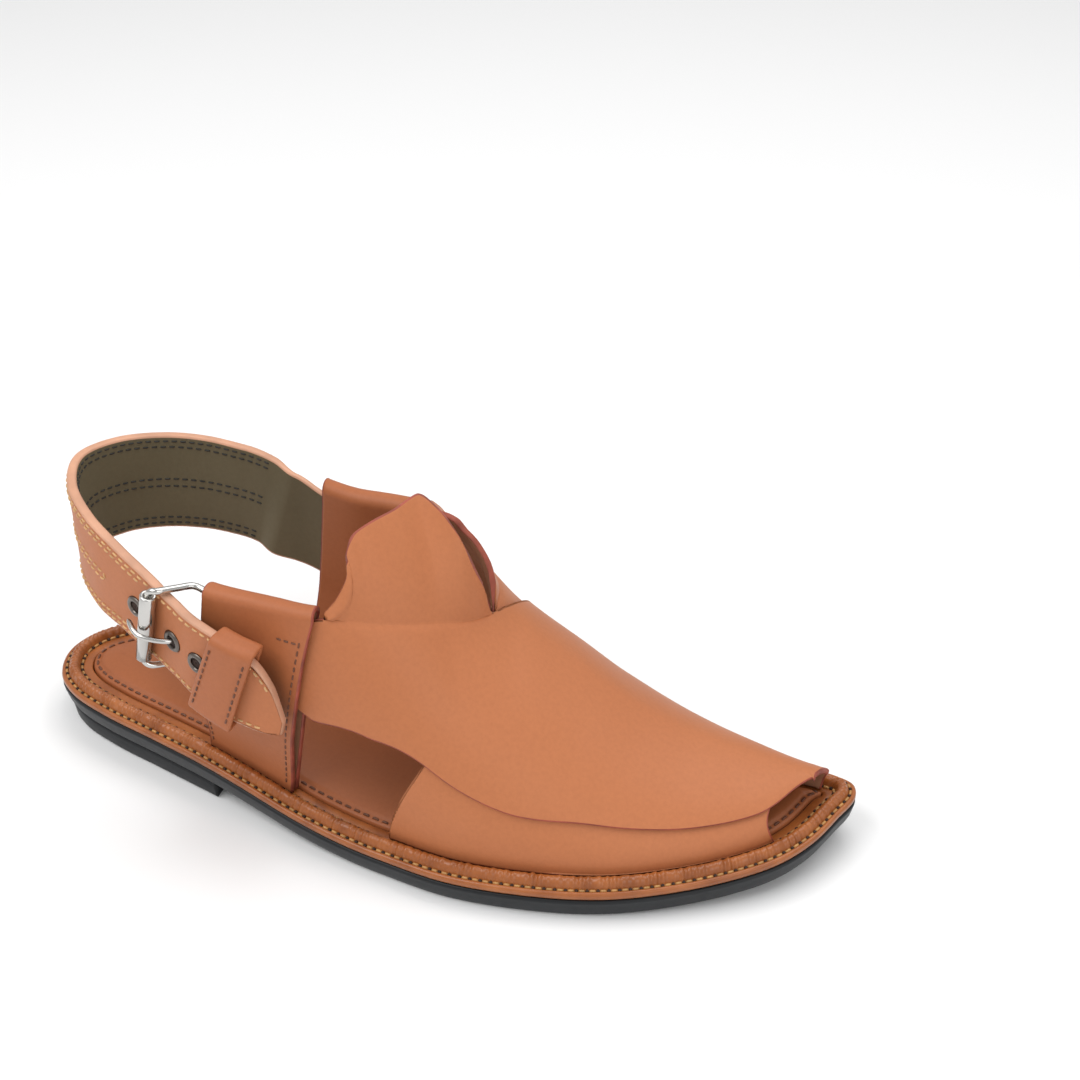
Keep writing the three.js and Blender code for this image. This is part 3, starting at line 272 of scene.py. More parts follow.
def leather_sheet(mid, normal, half, edge=0.8, square=0.6, steps=5, back=None):
    """Closed leather from a grid of middle points: outer face, rounded edge, inner face.
    Returns verts, faces and kinds (0 outer, 1 edge, 2 inner)."""
    n, m = mid.shape[:2]
    half = np.broadcast_to(np.asarray(half, float), (n, m))[..., None]
    back = half if back is None else np.broadcast_to(np.asarray(back, float), (n, m))[..., None]
    loop = [(0, j) for j in range(m - 1)] + [(i, m - 1) for i in range(n - 1)]
    loop += [(n - 1, j) for j in range(m - 1, 0, -1)] + [(i, 0) for i in range(n - 1, 0, -1)]
    out_dir = {}
    for i, j in loop:
        d = np.zeros(3)
        if i in (0, n - 1):
            s = 1 if i == 0 else -1
            k = i + s
            while 0 < k < n - 1 and np.linalg.norm(mid[i, j] - mid[k, j]) < 0.3:
                k += s
            v = mid[i, j] - mid[k, j]
            d += v / max(np.linalg.norm(v), 1e-9)
        if j in (0, m - 1):
            s = 1 if j == 0 else -1
            k = j + s
            while 0 < k < m - 1 and np.linalg.norm(mid[i, j] - mid[i, k]) < 0.3:
                k += s
            v = mid[i, j] - mid[i, k]
            d += v / max(np.linalg.norm(v), 1e-9)
        d -= normal[i, j] * d.dot(normal[i, j])
        out_dir[i, j] = d / max(np.linalg.norm(d), 1e-9)
    core = mid.copy()
    for ij, d in out_dir.items():
        core[ij] = mid[ij] - d * edge
    verts = [(core + normal * half).reshape(-1, 3), (core - normal * back).reshape(-1, 3)]
    faces = grid_faces(n, m) + grid_faces(n, m, base=n * m, flip=True)
    kinds = [0] * ((n - 1) * (m - 1)) + [2] * ((n - 1) * (m - 1))
    base = 2 * n * m
    rings = []
    for k in range(1, steps):
        a = math.pi * k / steps
        c, s = math.cos(a), math.sin(a)
        across = np.sign(c) * abs(c) ** square
        ring = []
        for ij in loop:
            h = half[ij][0] if c > 0 else back[ij][0]
            ring.append(core[ij] + normal[ij] * h * across + out_dir[ij] * edge * s ** square)
        rings.append(np.array(ring))
    verts += rings
    count = len(loop)
    first = [i * m + j for i, j in loop]
    lists = [first] + [[base + r * count + k for k in range(count)] for r in range(steps - 1)]
    lists.append([n * m + v for v in first])
    for a, b in zip(lists[:-1], lists[1:]):
        for k in range(count):
            q = (k + 1) % count
            faces.append((a[k], b[k], b[q], a[q]))
            kinds.append(1)
    return np.vstack(verts), faces, kinds


def tube(points, radius, closed=False, steps=80, sides=12, aside=(0, 0, 1), caps=True):
    c = Spline(points, closed)
    s = np.arange(steps) / steps if closed else np.linspace(0, 1, steps)
    p = c.at(s)
    t = unit(np.roll(p, -1, 0) - np.roll(p, 1, 0)) if closed else unit(np.gradient(p, axis=0))
    a = unit(np.asarray(aside, float) - t * (t @ np.asarray(aside, float))[:, None])
    b = np.cross(t, a)
    r = np.broadcast_to(np.asarray(radius, float), (steps,))[:, None]
    rings = [p + (a * math.cos(q) + b * math.sin(q)) * r for q in 2 * math.pi * np.arange(sides) / sides]
    verts = np.stack(rings, 1).reshape(-1, 3)
    faces = grid_faces(steps, sides, wrap=True)
    if closed:
        for j in range(sides):
            k = (j + 1) % sides
            faces.append(((steps - 1) * sides + j, (steps - 1) * sides + k, k, j))
    elif caps:
        faces.append(tuple(range(sides - 1, -1, -1)))
        faces.append(tuple((steps - 1) * sides + k for k in range(sides)))
    return verts, faces


def joined(parts):
    verts, faces, base = [], [], 0
    for v, f in parts:
        verts.append(v)
        faces += [tuple(i + base for i in q) for q in f]
        base += len(v)
    return np.vstack(verts), faces


def stitch(point, along, out, length, radius, sink=0.2, sides=8, rows=7):
    """One sewn stitch: a round thread that dives into its holes at both ends."""
    across = np.cross(out, along)
    verts = []
    for i in range(rows):
        s = -1 + 2 * i / (rows - 1)
        r = radius * (1 - 0.25 * s ** 4)
        centre = point + along * (s * length / 2) + out * (radius * 0.75 - sink - 1.5 * radius * s ** 6)
        for k in range(sides):
            a = 2 * math.pi * k / sides
            verts.append(centre + across * (r * math.cos(a)) + out * (r * math.sin(a)))
    return np.array(verts), grid_faces(rows, sides, wrap=True)


def stitch_row(points, outs, pitch=3.2, gap=0.75, radius=0.42, sink=0.15, closed=False, phase=0.0):
    """Stitches along a path of points with their outward directions."""
    points, outs = np.asarray(points), np.asarray(outs)
    if closed:
        points, outs = np.vstack([points, points[:1]]), np.vstack([outs, outs[:1]])
    reach = np.r_[0, np.cumsum(np.linalg.norm(np.diff(points, axis=0), axis=1))]
    count = max(1, int(round(reach[-1] / pitch)))
    step = reach[-1] / count
    parts = []
    for k in range(count):
        s = ((k + 0.5 + phase) * step) % reach[-1]
        if s < step * 0.41 or s > reach[-1] - step * 0.41:
            s = min(max(s, step * 0.41), reach[-1] - step * 0.41)
        a, b, c = (np.array([np.interp(v, reach, points[:, i]) for i in range(3)]) for v in (s - step * 0.4,
                s + step * 0.4, s))
        o = unit(np.array([np.interp(s, reach, outs[:, i]) for i in range(3)]))
        d = unit(b - a)
        o = unit(o - d * o.dot(d))
        parts.append(stitch(c, d, o, step - gap, radius, sink))
    return joined(parts)


# ---- materials ----
def nodes_of(name):
    mat = bpy.data.materials.new(name)
    mat.use_nodes = True
    nt = mat.node_tree
    bsdf = next(n for n in nt.nodes if n.type == "BSDF_PRINCIPLED")
    coord = nt.nodes.new("ShaderNodeTexCoord")
    return mat, nt, bsdf, coord.outputs["Object"]


def noise(nt, coord, scale, detail=4, rough=0.5, distort=0.0):
    n = nt.nodes.new("ShaderNodeTexNoise")
    n.inputs["Scale"].default_value = scale
    n.inputs["Detail"].default_value = detail
    n.inputs["Roughness"].default_value = rough
    n.inputs["Distortion"].default_value = distort
    nt.links.new(coord, n.inputs["Vector"])
    return n.outputs["Fac"]


def cells(nt, coord, scale, feature="DISTANCE_TO_EDGE"):
    n = nt.nodes.new("ShaderNodeTexVoronoi")
    n.feature = feature
    n.inputs["Scale"].default_value = scale
    nt.links.new(coord, n.inputs["Vector"])
    return n.outputs["Distance"]


def ramp(nt, fac, stops):
    r = nt.nodes.new("ShaderNodeValToRGB")
    el = r.color_ramp.elements
    while len(el) < len(stops):
        el.new(0.5)
    for e, (pos, col) in zip(el, stops):
        e.position = pos
        e.color = (*col, 1) if len(col) == 3 else col
    nt.links.new(fac, r.inputs["Fac"])
    return r.outputs["Color"]


def mixed(nt, fac, a, b, blend="MIX"):
    m = nt.nodes.new("ShaderNodeMix")
    m.data_type = "RGBA"
    m.blend_type = blend
    if isinstance(fac, float):
        m.inputs[0].default_value = fac
    else:
        nt.links.new(fac, m.inputs[0])
    for sock, v in ((m.inputs[6], a), (m.inputs[7], b)):
        if isinstance(v, tuple):
            sock.default_value = (*v, 1)
        else:
            nt.links.new(v, sock)
    return m.outputs[2]


def bumped(nt, bsdf, layers):
    prev = None
    for height, strength, distance in layers:
        b = nt.nodes.new("ShaderNodeBump")
        b.inputs["Strength"].default_value = strength
        b.inputs["Distance"].default_value = distance / 1000
        nt.links.new(height, b.inputs["Height"])
        if prev is not None:
            nt.links.new(prev, b.inputs["Normal"])
        prev = b.outputs["Normal"]
    nt.links.new(prev, bsdf.inputs["Normal"])


def leather(name, base, dark, light, rough=(0.42, 0.56), grain=1.0, coat=0.0, crease=0.0, coat_rough=0.3,
        spots=12):
    mat, nt, bsdf, coord = nodes_of(name)
    broad = noise(nt, coord, spots, 3, 0.5)
    fine = noise(nt, coord, 700, 4, 0.6)
    col = ramp(nt, broad, [(0.3, dark), (0.5, base), (0.72, light)])
    speck = ramp(nt, fine, [(0.3, (0.95, 0.95, 0.95)), (0.62, (1.02, 1.02, 1.02))])
    nt.links.new(mixed(nt, 1.0, col, speck, "MULTIPLY"), bsdf.inputs["Base Color"])
    r = nt.nodes.new("ShaderNodeMapRange")
    r.inputs["To Min"].default_value, r.inputs["To Max"].default_value = rough
    nt.links.new(noise(nt, coord, 60, 4, 0.6), r.inputs["Value"])
    nt.links.new(r.outputs["Result"], bsdf.inputs["Roughness"])
    pores = cells(nt, coord, 1500)
    layers = [(pores, 0.16 * grain, 0.12), (noise(nt, coord, 900, 5, 0.65), 0.22 * grain, 0.12),
            (noise(nt, coord, 95, 4, 0.55), 0.25 * grain, 0.35)]
    if crease:
        layers.append((noise(nt, coord, 34, 3, 0.5, 1.2), crease, 1.0))
    bumped(nt, bsdf, layers)
    bsdf.inputs["Coat Weight"].default_value = coat
    bsdf.inputs["Coat Roughness"].default_value = coat_rough
    bsdf.inputs["Specular IOR Level"].default_value = 0.3
    return mat


def plain(name, color, rough, metal=0.0, var=0.08, bump=0.1, scale=300, coat=0.0, spec=0.5):
    mat, nt, bsdf, coord = nodes_of(name)
    low = tuple(c * (1 - var) for c in color)
    high = tuple(min(1, c * (1 + var)) for c in color)
    nt.links.new(ramp(nt, noise(nt, coord, scale * 0.2, 4), [(0.3, low), (0.7, high)]),
            bsdf.inputs["Base Color"])
    bsdf.inputs["Metallic"].default_value = metal
    bsdf.inputs["Coat Weight"].default_value = coat
    bsdf.inputs["Specular IOR Level"].default_value = spec
    r = nt.nodes.new("ShaderNodeMapRange")
    r.inputs["To Min"].default_value = rough * 0.85
    r.inputs["To Max"].default_value = min(1.0, rough * 1.15)
    nt.links.new(noise(nt, coord, scale, 3), r.inputs["Value"])
    nt.links.new(r.outputs["Result"], bsdf.inputs["Roughness"])
    bumped(nt, bsdf, [(noise(nt, coord, scale * 2.5, 4, 0.6), bump, 0.15)])
    return mat


TAN = leather("tan_leather", (0.44, 0.150, 0.058), (0.425, 0.143, 0.055), (0.455, 0.157, 0.061),
        rough=(0.46, 0.58), spots=9)
STAY_TAN = leather("stay_leather", (0.38, 0.122, 0.046), (0.36, 0.114, 0.043), (0.40, 0.130, 0.050),
        rough=(0.44, 0.56), crease=0.1)
INSOLE_TAN = leather("insole_leather", (0.33, 0.102, 0.036), (0.29, 0.088, 0.03), (0.37, 0.12, 0.044),
        rough=(0.4, 0.5), crease=0.15)
WELT_BROWN = leather("welt_leather", (0.31, 0.092, 0.022), (0.24, 0.068, 0.016), (0.37, 0.118, 0.030),
        rough=(0.26, 0.38), coat=0.3, crease=0.25, spots=120)
LINING = leather("lining_leather", (0.145, 0.118, 0.068), (0.125, 0.10, 0.056), (0.17, 0.14, 0.082),
        rough=(0.55, 0.7), grain=0.8)
INNER = leather("inside_leather", (0.33, 0.15, 0.08), (0.29, 0.13, 0.068), (0.37, 0.17, 0.095),
        rough=(0.6, 0.75), grain=0.8)
CUT = plain("cut_edge", (0.27, 0.055, 0.03), 0.6, var=0.35, bump=0.5, scale=700)
STRAP_CUT = plain("strap_edge", (0.56, 0.29, 0.18), 0.5, var=0.15, bump=0.25, scale=500)
RUBBER = plain("black_rubber", (0.0085, 0.0098, 0.0115), 0.42, var=0.2, bump=0.18, scale=350, spec=0.3)
HEEL_RUBBER = plain("heel_rubber", (0.0075, 0.0085, 0.01), 0.5, var=0.2, bump=0.2, scale=350, spec=0.35)
GOLD_THREAD = plain("gold_thread", (0.40, 0.20, 0.06), 0.5, var=0.25, bump=0.5, scale=900)
CREAM_THREAD = plain("cream_thread", (0.60, 0.36, 0.16), 0.55, var=0.2, bump=0.5, scale=900)
BROWN_THREAD = plain("brown_thread", (0.13, 0.045, 0.02), 0.55, var=0.2, bump=0.5, scale=900)
BLACK_THREAD = plain("black_thread", (0.02, 0.018, 0.015), 0.6, var=0.3, bump=0.5, scale=900)
# painted shade: a near-black colour that stands in for the shade inside needle holes, pinholes and eyelet bores
HOLE_SHADE = plain("needle_hole_shade", (0.03, 0.012, 0.006), 0.8, var=0.2, bump=0.1)
NICKEL = plain("bright_nickel", (0.55, 0.54, 0.52), 0.14, metal=1.0, var=0.04, bump=0.03, scale=200)
GUN = plain("dark_eyelet", (0.16, 0.14, 0.125), 0.3, metal=1.0, var=0.15, bump=0.05, scale=300)

# ---- sole ----


def ring(inset, height):
    p = rim(inset).copy()
    p[:, 2] = height(p[:, 0])
    return p


def capped(rings):
    """Rings stacked upwards, closed below and above by strips across the sole."""
    n = COUNT
    verts = np.vstack(rings)
    faces = grid_faces(len(rings), n, wrap=True)
    outer = list(range(0, TOE + 1))
    inner = [0] + list(range(n - 1, TOE - 1, -1))
    for base, flip in ((0, True), ((len(rings) - 1) * n, False)):
        i = j = 0
        while i < len(outer) - 1 or j < len(inner) - 1:
            a, b = outer[i], inner[j]
            step_outer = j >= len(inner) - 1 or (i < len(outer) - 1 and RIM[outer[i + 1],
                    0] <= RIM[inner[j + 1], 0])
            if step_outer:
                c = outer[i + 1]
                i += 1
            else:
                c = inner[j + 1]
                j += 1
            if len({a, b, c}) == 3:
                f = (base + a, base + c, base + b)
                faces.append(f[::-1] if flip else f)
    return verts, faces


def under(x):
    return sole_top(x) - OUTSOLE


side = [
    ring(DRAFT + 2.2, under), ring(DRAFT + 1.0, lambda x: under(x) + 0.15),
    ring(DRAFT + 0.4, lambda x: under(x) + 0.6),
    ring(DRAFT, lambda x: under(x) + 1.3), ring(DRAFT * 0.6, lambda x: under(x) + 0.35 * OUTSOLE),
    ring(DRAFT * 0.3, lambda x: under(x) + 0.6 * OUTSOLE), ring(0.1, lambda x: sole_top(x) - 1.6),
    ring(0, lambda x: sole_top(x) - 1.1), ring(0.15, lambda x: sole_top(x) - 0.5),
    ring(0.6, lambda x: sole_top(x) - 0.12),
    ring(1.4, sole_top), ring(3.0, sole_top),
]
v, f = capped(side)
build("outsole_visual", v, f, [RUBBER], ["outsole"])

breast = -LENGTH / 2 + HEEL_LENGTH


def heel_ring(inset, height):
    p = rim(inset)
    keep = p[:, 0] < breast - 0.4
    start = int(np.argmax(~keep))
    idx = [(start + k) % COUNT for k in range(COUNT)]
    idx = [i for i in idx if keep[i]]
    arc = p[idx]
    picks = np.linspace(0, len(arc) - 1, 150).round().astype(int)
    arc = arc[picks]
    a, b = side_line(1, inset)(breast), side_line(-1, inset)(breast)
    cut = np.array([[breast, mix(b, a, t), 0] for t in np.linspace(0, 1, 20)])
    loop = np.vstack([arc, cut])
    loop[:, 2] = height(loop[:, 0])
    return loop


heel_top = lambda x: sole_top(x) - OUTSOLE - GAP
rings = [heel_ring(i, h) for i, h in (
    (DRAFT + 3.0, lambda x: 0 * x), (DRAFT + 1.9, lambda x: 0 * x + 0.12),
    (DRAFT + 1.5, lambda x: 0 * x + 0.7),
    (DRAFT + 1.2, lambda x: 0 * x + 1.4), (DRAFT + 0.6, lambda x: heel_top(x) - 1.0),
    (DRAFT + 0.8, lambda x: heel_top(x) - 0.3), (DRAFT + 1.4, heel_top))]
n = len(rings[0])
v = np.vstack(rings)
f = grid_faces(len(rings), n, wrap=True)
f += [tuple(range(n - 1, -1, -1)), tuple((len(rings) - 1) * n + k for k in range(n))]
build("heel_visual", v, f, [HEEL_RUBBER], ["heel"])

# ---- welt: lip, rolled bead, flange, two stitched grooves ----
STEP = outline.length / COUNT
arc = np.arange(COUNT) * STEP
rng = np.random.default_rng(7)
pleats = sum(a * np.sin(2 * math.pi * arc / outline.length * k + p) for k, a, p in zip(
    (293, 241, 211, 149, 61), (0.17, 0.15, 0.12, 0.08, 0.06), rng.uniform(0, 6, 5)))
profile = [  # inset mm, height mm, share of the pleats
    (0.9, 0.0, 0), (0.25, 0.3, 0), (0.0, 1.0, 0), (0.0, 1.7, 0), (0.15, 2.3, 0), (0.6, 2.72, 0),
    (1.2, 2.78, 0), (1.6, 2.4, 0), (1.9, 2.05, 0.2),
    (2.2, 2.25, 0.4), (2.5, 2.9, 0.8), (2.9, 3.9, 1), (3.4, 4.75, 1), (4.0, 5.3, 1), (4.7, 5.5, 1),
    (5.4, 5.35, 1), (6.0, 4.8, 1),
    (6.4, 4.0, 1), (6.65, 3.1, 0.8), (6.8, 2.5, 0.4), (7.0, 2.25, 0.1), (7.4, 2.35, 0), (7.9, 2.55, 0),
    (9.0, 2.6, 0),
    (10.4, 2.6, 0), (10.85, 2.45, 0), (11.0, 2.0, 0), (11.0, 0.0, 0),
]
rings = []
for inset, height, share in profile:
    p = rim(inset).copy()
    p[:, 2] = sole_top(p[:, 0]) + GAP + height + share * pleats
    p += SOFT * (share * 0.5 * np.roll(pleats, 3))[:, None]
    rings.append(p)
v = np.vstack(rings)
f = grid_faces(len(rings), COUNT, wrap=True)
f += [(j + (len(rings) - 1) * COUNT, (j + 1) % COUNT + (len(rings) - 1) * COUNT, (j + 1) % COUNT,
        j) for j in range(COUNT)]
build("welt_visual", v, f, [WELT_BROWN], ["welt"])


def welt_row(inset, height, lean, name, pitch, radius, mat, gap, sink=0.1, phase=0.0):
    p = rim(inset).copy()
    p[:, 2] = sole_top(p[:, 0]) + GAP + height
    out = unit(np.array([0, 0, 1.0]) - unit(SOFT) * lean)
    v, f = stitch_row(p[::3], out[::3], pitch=pitch, gap=gap, radius=radius, sink=sink, closed=True,
            phase=phase)
    build(name, v, f, [mat])


welt_row(1.95, 2.3, 0.4, "welt_stitch_outer", 3.4, 0.5, GOLD_THREAD, 1.1)
welt_row(7.15, 2.5, -0.35, "welt_stitch_inner", 3.4, 0.48, GOLD_THREAD, 1.1)
# dark blobs between the welt stitches: painted shade of the needle holes
welt_row(1.95, 2.3, 0.4, "welt_hole_shade_outer", 3.4, 0.62, HOLE_SHADE, 2.3, 0.25, 0.5)
welt_row(7.15, 2.5, -0.35, "welt_hole_shade_inner", 3.4, 0.62, HOLE_SHADE, 2.3, 0.25, 0.5)

# ---- insole ----
rows = [(GAP, 1, 0, 0), (GAP, 1, 0.5, 0), (0.5, 1, 0.68, 0), (0.9, 1, 0.78, 0), (1.6, 1, 0.83, 0),
        (2.4, 1, 0.86, 0), (2.9, 1, 0.9, 0), (3.2, 0.99, 1, 0.02),
        (3.2, 0.96, 1, 0.2), (3.2, 0.9, 1, 0.4), (3.2, 0.8, 1, 0.6), (3.2, 0.65, 1, 0.8),
        (3.2, 0.45, 1, 0.93), (3.2, 0.2, 1, 1), (3.2, 0, 1, 1)]
rings = []
for inset, draw, rise, crown in rows:
    p = rim(WELT_WIDTH + inset).copy()
    side_y = (side_line(-1, WELT_WIDTH + inset)(p[:, 0]) + side_line(1, WELT_WIDTH + inset)(p[:, 0])) / 2
    y = mix(side_y, p[:, 1], draw)
    x = p[:, 0] * mix(0.93, 1, draw)
    rings.append(np.c_[x, y, sole_top(x) + GAP + rise * INSOLE + crown * CROWN])
v = np.vstack(rings)
f = grid_faces(len(rings), COUNT, wrap=True)
build("insole_visual", v, f, [INSOLE_TAN], ["insole"])
p = rim(WELT_WIDTH + 1.9).copy()
p[:, 2] = sole_top(p[:, 0]) + GAP + 0.845 * INSOLE
v, f = stitch_row(p[::3], np.tile([0, 0, 1.0], (len(p[::3]), 1)), pitch=3.6, gap=0.9, radius=0.42, sink=0.1,
        closed=True)
build("insole_stitch", v, f, [BROWN_THREAD])

# ---- wings ----
TOP_WING = np.array([
    (-0.117, -0.875, -0.108, -0.69), (-0.084, -0.87, -0.0754, -0.57), (-0.018, -0.785, -0.038, -0.47),
    (0.054, -0.715, 0, -0.36),
    (0.14, -0.73, 0.032, -0.24), (0.232, -0.67, 0.06, -0.11), (0.337, -0.64, 0.078, 0.04),
    (0.4, -0.56, 0.084, 0.25),
    (0.433, -0.3, 0.08, 0.46), (0.455, 0.05, 0.066, 0.68), (0.462, 0.5, 0.045, 0.86), (0.458, 1, 0.022, 1)])
UNDER_WING = np.array([
    (-0.082, 0.875, -0.073, 0.66), (-0.051, 0.87, -0.0404, 0.57), (0.008, 0.8, -0.003, 0.47),
    (0.07, 0.74, 0.034, 0.36),
    (0.148, 0.72, 0.058, 0.22), (0.235, 0.68, 0.068, 0.06), (0.32, 0.6, 0.073, -0.12),
    (0.385, 0.4, 0.0745, -0.3),
    (0.41, 0.05, 0.071, -0.45), (0.414, -0.3, 0.06, -0.6), (0.411, -0.62, 0.043, -0.76),
    (0.419, -1, 0.007, -1)])
TOP_FLAP = np.array([
    (0.105, -0.0702, -0.323, 0.8), (0.12, -0.0577, -0.301, 0.845), (0.135, -0.0495, -0.274, 0.905),
    (0.16, -0.0559, -0.243, 0.956),
    (0.19, -0.0552, -0.212, 0.985), (0.25, -0.0432, -0.155, 1.005), (0.31, -0.0267, -0.084, 1.012),
    (0.36, -0.0081, 0, 1.022),
    (0.4, 0.0165, -0.013, 0.99), (0.43, 0.035, -0.027, 0.945), (0.455, 0.05, -0.035, 0.885),
    (0.47, 0.061, -0.04, 0.825),
    (0.482, 0.07, -0.035, 0.765), (0.49, 0.0725, -0.027, 0.7)])
UNDER_FLAP = np.array([
    (0.105, -0.034, 0.2619, 0.7703), (0.12, -0.0281, 0.2478, 0.7928), (0.135, -0.0246, 0.2301, 0.8198),
    (0.16, -0.0274, 0.2035, 0.8514),
    (0.19, -0.0267, 0.177, 0.8739), (0.25, -0.0211, 0.1327, 0.8964), (0.31, -0.0105, 0.0885, 0.9144),
    (0.36, 0.0035, 0.0549, 0.9297),
    (0.4, 0.0168, 0.0407, 0.9369), (0.425, 0.027, 0.0354, 0.9315), (0.445, 0.0351, 0.0336, 0.9099),
    (0.465, 0.0495, 0.031, 0.8784),
    (0.48, 0.0635, 0.0283, 0.8252), (0.488, 0.0698, 0.0248, 0.782), (0.494, 0.073, 0.0212, 0.7225),
    (0.498, 0.0737, 0.0142, 0.6784),
])


def place_of(table):
    at = np.arange(len(table)) / (len(table) - 1)
    fa, ft, ba, bt = (column(at, table[:, k]) for k in range(4))
    return lambda u, w: (mix(fa(u), ba(u), w) * LENGTH, mix(ft(u), bt(u), w))


def top_lift(turn):
    return (LEATHER - LAP) * (1 - smooth((turn - 0.74) / 0.22))


def flap_tip(table, u):
    x, y, z = (column(table[:, 0], table[:, k])(u) for k in (1, 2, 3))
    return np.array([x * LENGTH, y * BALL, z * THROAT])


def wing(table, flap_table, lift, side, wrinkles):
    place = place_of(table)
    first, end = flap_table[0, 0], flap_table[-1, 0]
    even = np.linspace(0, 1, 241)
    st = np.sort(np.r_[even[(np.abs(even - first) > 0.003) & (np.abs(even - end) > 0.003)], first - 0.003,
            first, end, end + 0.003])
    rows_w, rows_f = 72, 30
    w = 1 - (1 - np.linspace(0, 1, rows_w + 1)) ** 1.25
    U, W = np.meshgrid(st, w, indexing="ij")
    x, turn = place(U, W)
    nor = last_normal(x, turn)
    mid = on_last(x, turn, lift(turn) + LEATHER / 2)
    mid = mid + nor * wrinkles(x, turn, W)[..., None]
    span = np.linalg.norm(mid - mid[:, -1:], axis=2)
    held = (smooth((st - first) / 0.03) * smooth((end + 0.02 - st) / 0.05))[:, None]
    mid = mid - nor * (CREASE_DEPTH * held * np.exp(-(span / 1.6) ** 2))[..., None]
    crease = mid[:, -1]
    flap = np.repeat(crease[:, None], rows_f, 1)
    fnor = np.repeat(nor[:, -1:], rows_f, 1)
    for i, u in enumerate(st):
        if first - 1e-9 <= u <= end + 1e-9:
            tip = flap_tip(flap_table, u)
            bulge = np.array([FLAP_BULGE * LENGTH, side * FLAP_LEAN * BALL, 0])
            belly = (crease[i] + tip) / 2 + bulge * smooth((end - u) / 0.08)
            for k in range(1, rows_f + 1):
                t = k / rows_f
                flap[i, k - 1] = mix(mix(crease[i], belly, t), mix(belly, tip, t), t)
    full = np.concatenate([mid, flap], 1)
    fn = np.concatenate([nor, fnor], 1)
    inside = (st >= first - 1e-9) & (st <= end + 1e-9)
    ids = np.where(inside)[0]
    blk = full[ids[0]:ids[-1] + 1, rows_w:]
    along = np.gradient(blk, axis=0)
    rise = np.gradient(blk, axis=1)
    fl = unit(np.cross(along, rise)) * -side
    fl[:, 0] = unit(fl[:, 0] + nor[ids[0]:ids[-1] + 1, -1])
    fl[:, 1] = unit(fl[:, 0] + 2 * fl[:, 1])
    fn[ids[0]:ids[-1] + 1, rows_w:] = fl
    return leather_sheet(full, fn, LEATHER / 2, edge=0.7, steps=5)


def no_wrinkle(x, turn, w):
    return 0 * x


def top_wrinkle(x, turn, w):
    """Listed creases of the top wing: soft folds that run down from the throat fold."""
    out = 0 * x
    for cx, ct, lx, lt, depth, slant in (
            (28, -0.12, 5, 0.16, 0.35, 0.9), (40, 0.02, 7, 0.2, 0.3, 0.6), (14, -0.3, 4, 0.12, 0.3, 1.1),
            (62, 0.28, 9, 0.2, 0.25, 0.4)):
        a = (x - cx) + slant * 30 * (turn - ct)
        out -= depth * np.exp(-(a / lx) ** 2 - ((turn - ct) / lt) ** 2)
    edge = np.exp(-((w - 1) / 0.05) ** 2)
    return out * (1 - edge) * smooth((1 - np.abs(turn)) / 0.1)


v1, f1, k1 = wing(TOP_WING, TOP_FLAP, top_lift, -1, top_wrinkle)
v2, f2, k2 = wing(UNDER_WING, UNDER_FLAP, lambda t: 0 * t, 1, no_wrinkle)
build("wing_top", v1, f1, [TAN, CUT, INNER], ["upper"], kinds=k1, merge=1e-6)
build("wing_under", v2, f2, [TAN, CUT, INNER], ["upper"], kinds=k2, merge=1e-6)

# ---- stays ----
stay_foot = column([0, 0.5, 1], [-0.123, -0.184, -0.243])
stay_head = column([0, 0.5, 1], [-0.0785, -0.1445, -0.2105])


def stay_middle(x, z, side):
    x, z = np.broadcast_arrays(np.asarray(x, float), np.asarray(z, float))
    z0 = seat(x)
    rise = smooth((z - z0) / (0.3 * THROAT))
    lift = mix(0.4, (LEATHER - LAP if side < 0 else 0) + LEATHER / 2, rise)
    ax, az = x.copy(), z.copy()
    for _ in range(4):
        p = on_last(ax, turn_at(ax, az, side), lift)
        ax, az = ax + x - p[..., 0], az + z - p[..., 2]
    n = last_normal(ax, turn_at(ax, az, side))
    level = np.hypot(n[..., 0], n[..., 1])
    out = np.stack([n[..., 0], n[..., 1], 0 * level], -1) / (level * np.maximum(0.75, level))[..., None]
    flare = FLARE_OUTER if side < 0 else FLARE_INNER
    spread = flare * smooth((-0.117 * LENGTH - x) / (0.1 * LENGTH)) * smooth((z - z0) / FLARE_RISE)
    return np.stack([x, p[..., 1] + side * spread, z], -1), out, mix(STAY_FOOT, STAY_GAP, rise) / 2


def stay_surface(side, thick, cols=61):
    """Surface of the folded post at a distance from its hollow: columns front to rear, rows from
    the outer foot over the fold to the inner foot."""
    share = np.linspace(0, 1, cols)
    heights = np.linspace(0, 1, 61)
    crown = STAY_TOP * THROAT - STAY_GAP / 2 - STAY_T
    S, H = np.meshgrid(share, heights, indexing="ij")
    x = (mix(stay_foot(S), stay_head(S), H) + (INNER_STAY_AHEAD if side > 0 else 0)) * LENGTH
    z = mix(seat(x), crown, H)
    p, out, half = stay_middle(x, z, side)
    r = (half + thick)[..., None]
    a, b = p + out * r, p - out * r
    ang = np.radians(np.linspace(0, 180, 17))[1:-1]
    top_p, top_o, top_r = p[:, -1], out[:, -1], r[:, -1]
    bend = top_p[:, None] + top_o[:, None] * top_r[:, None] * np.cos(ang)[None, :, None]
    bend[..., 2] += (top_r[:, None] * np.sin(ang)[None, :, None])[..., 0]
    return np.concatenate([a, bend, b[:, ::-1]], 1), out


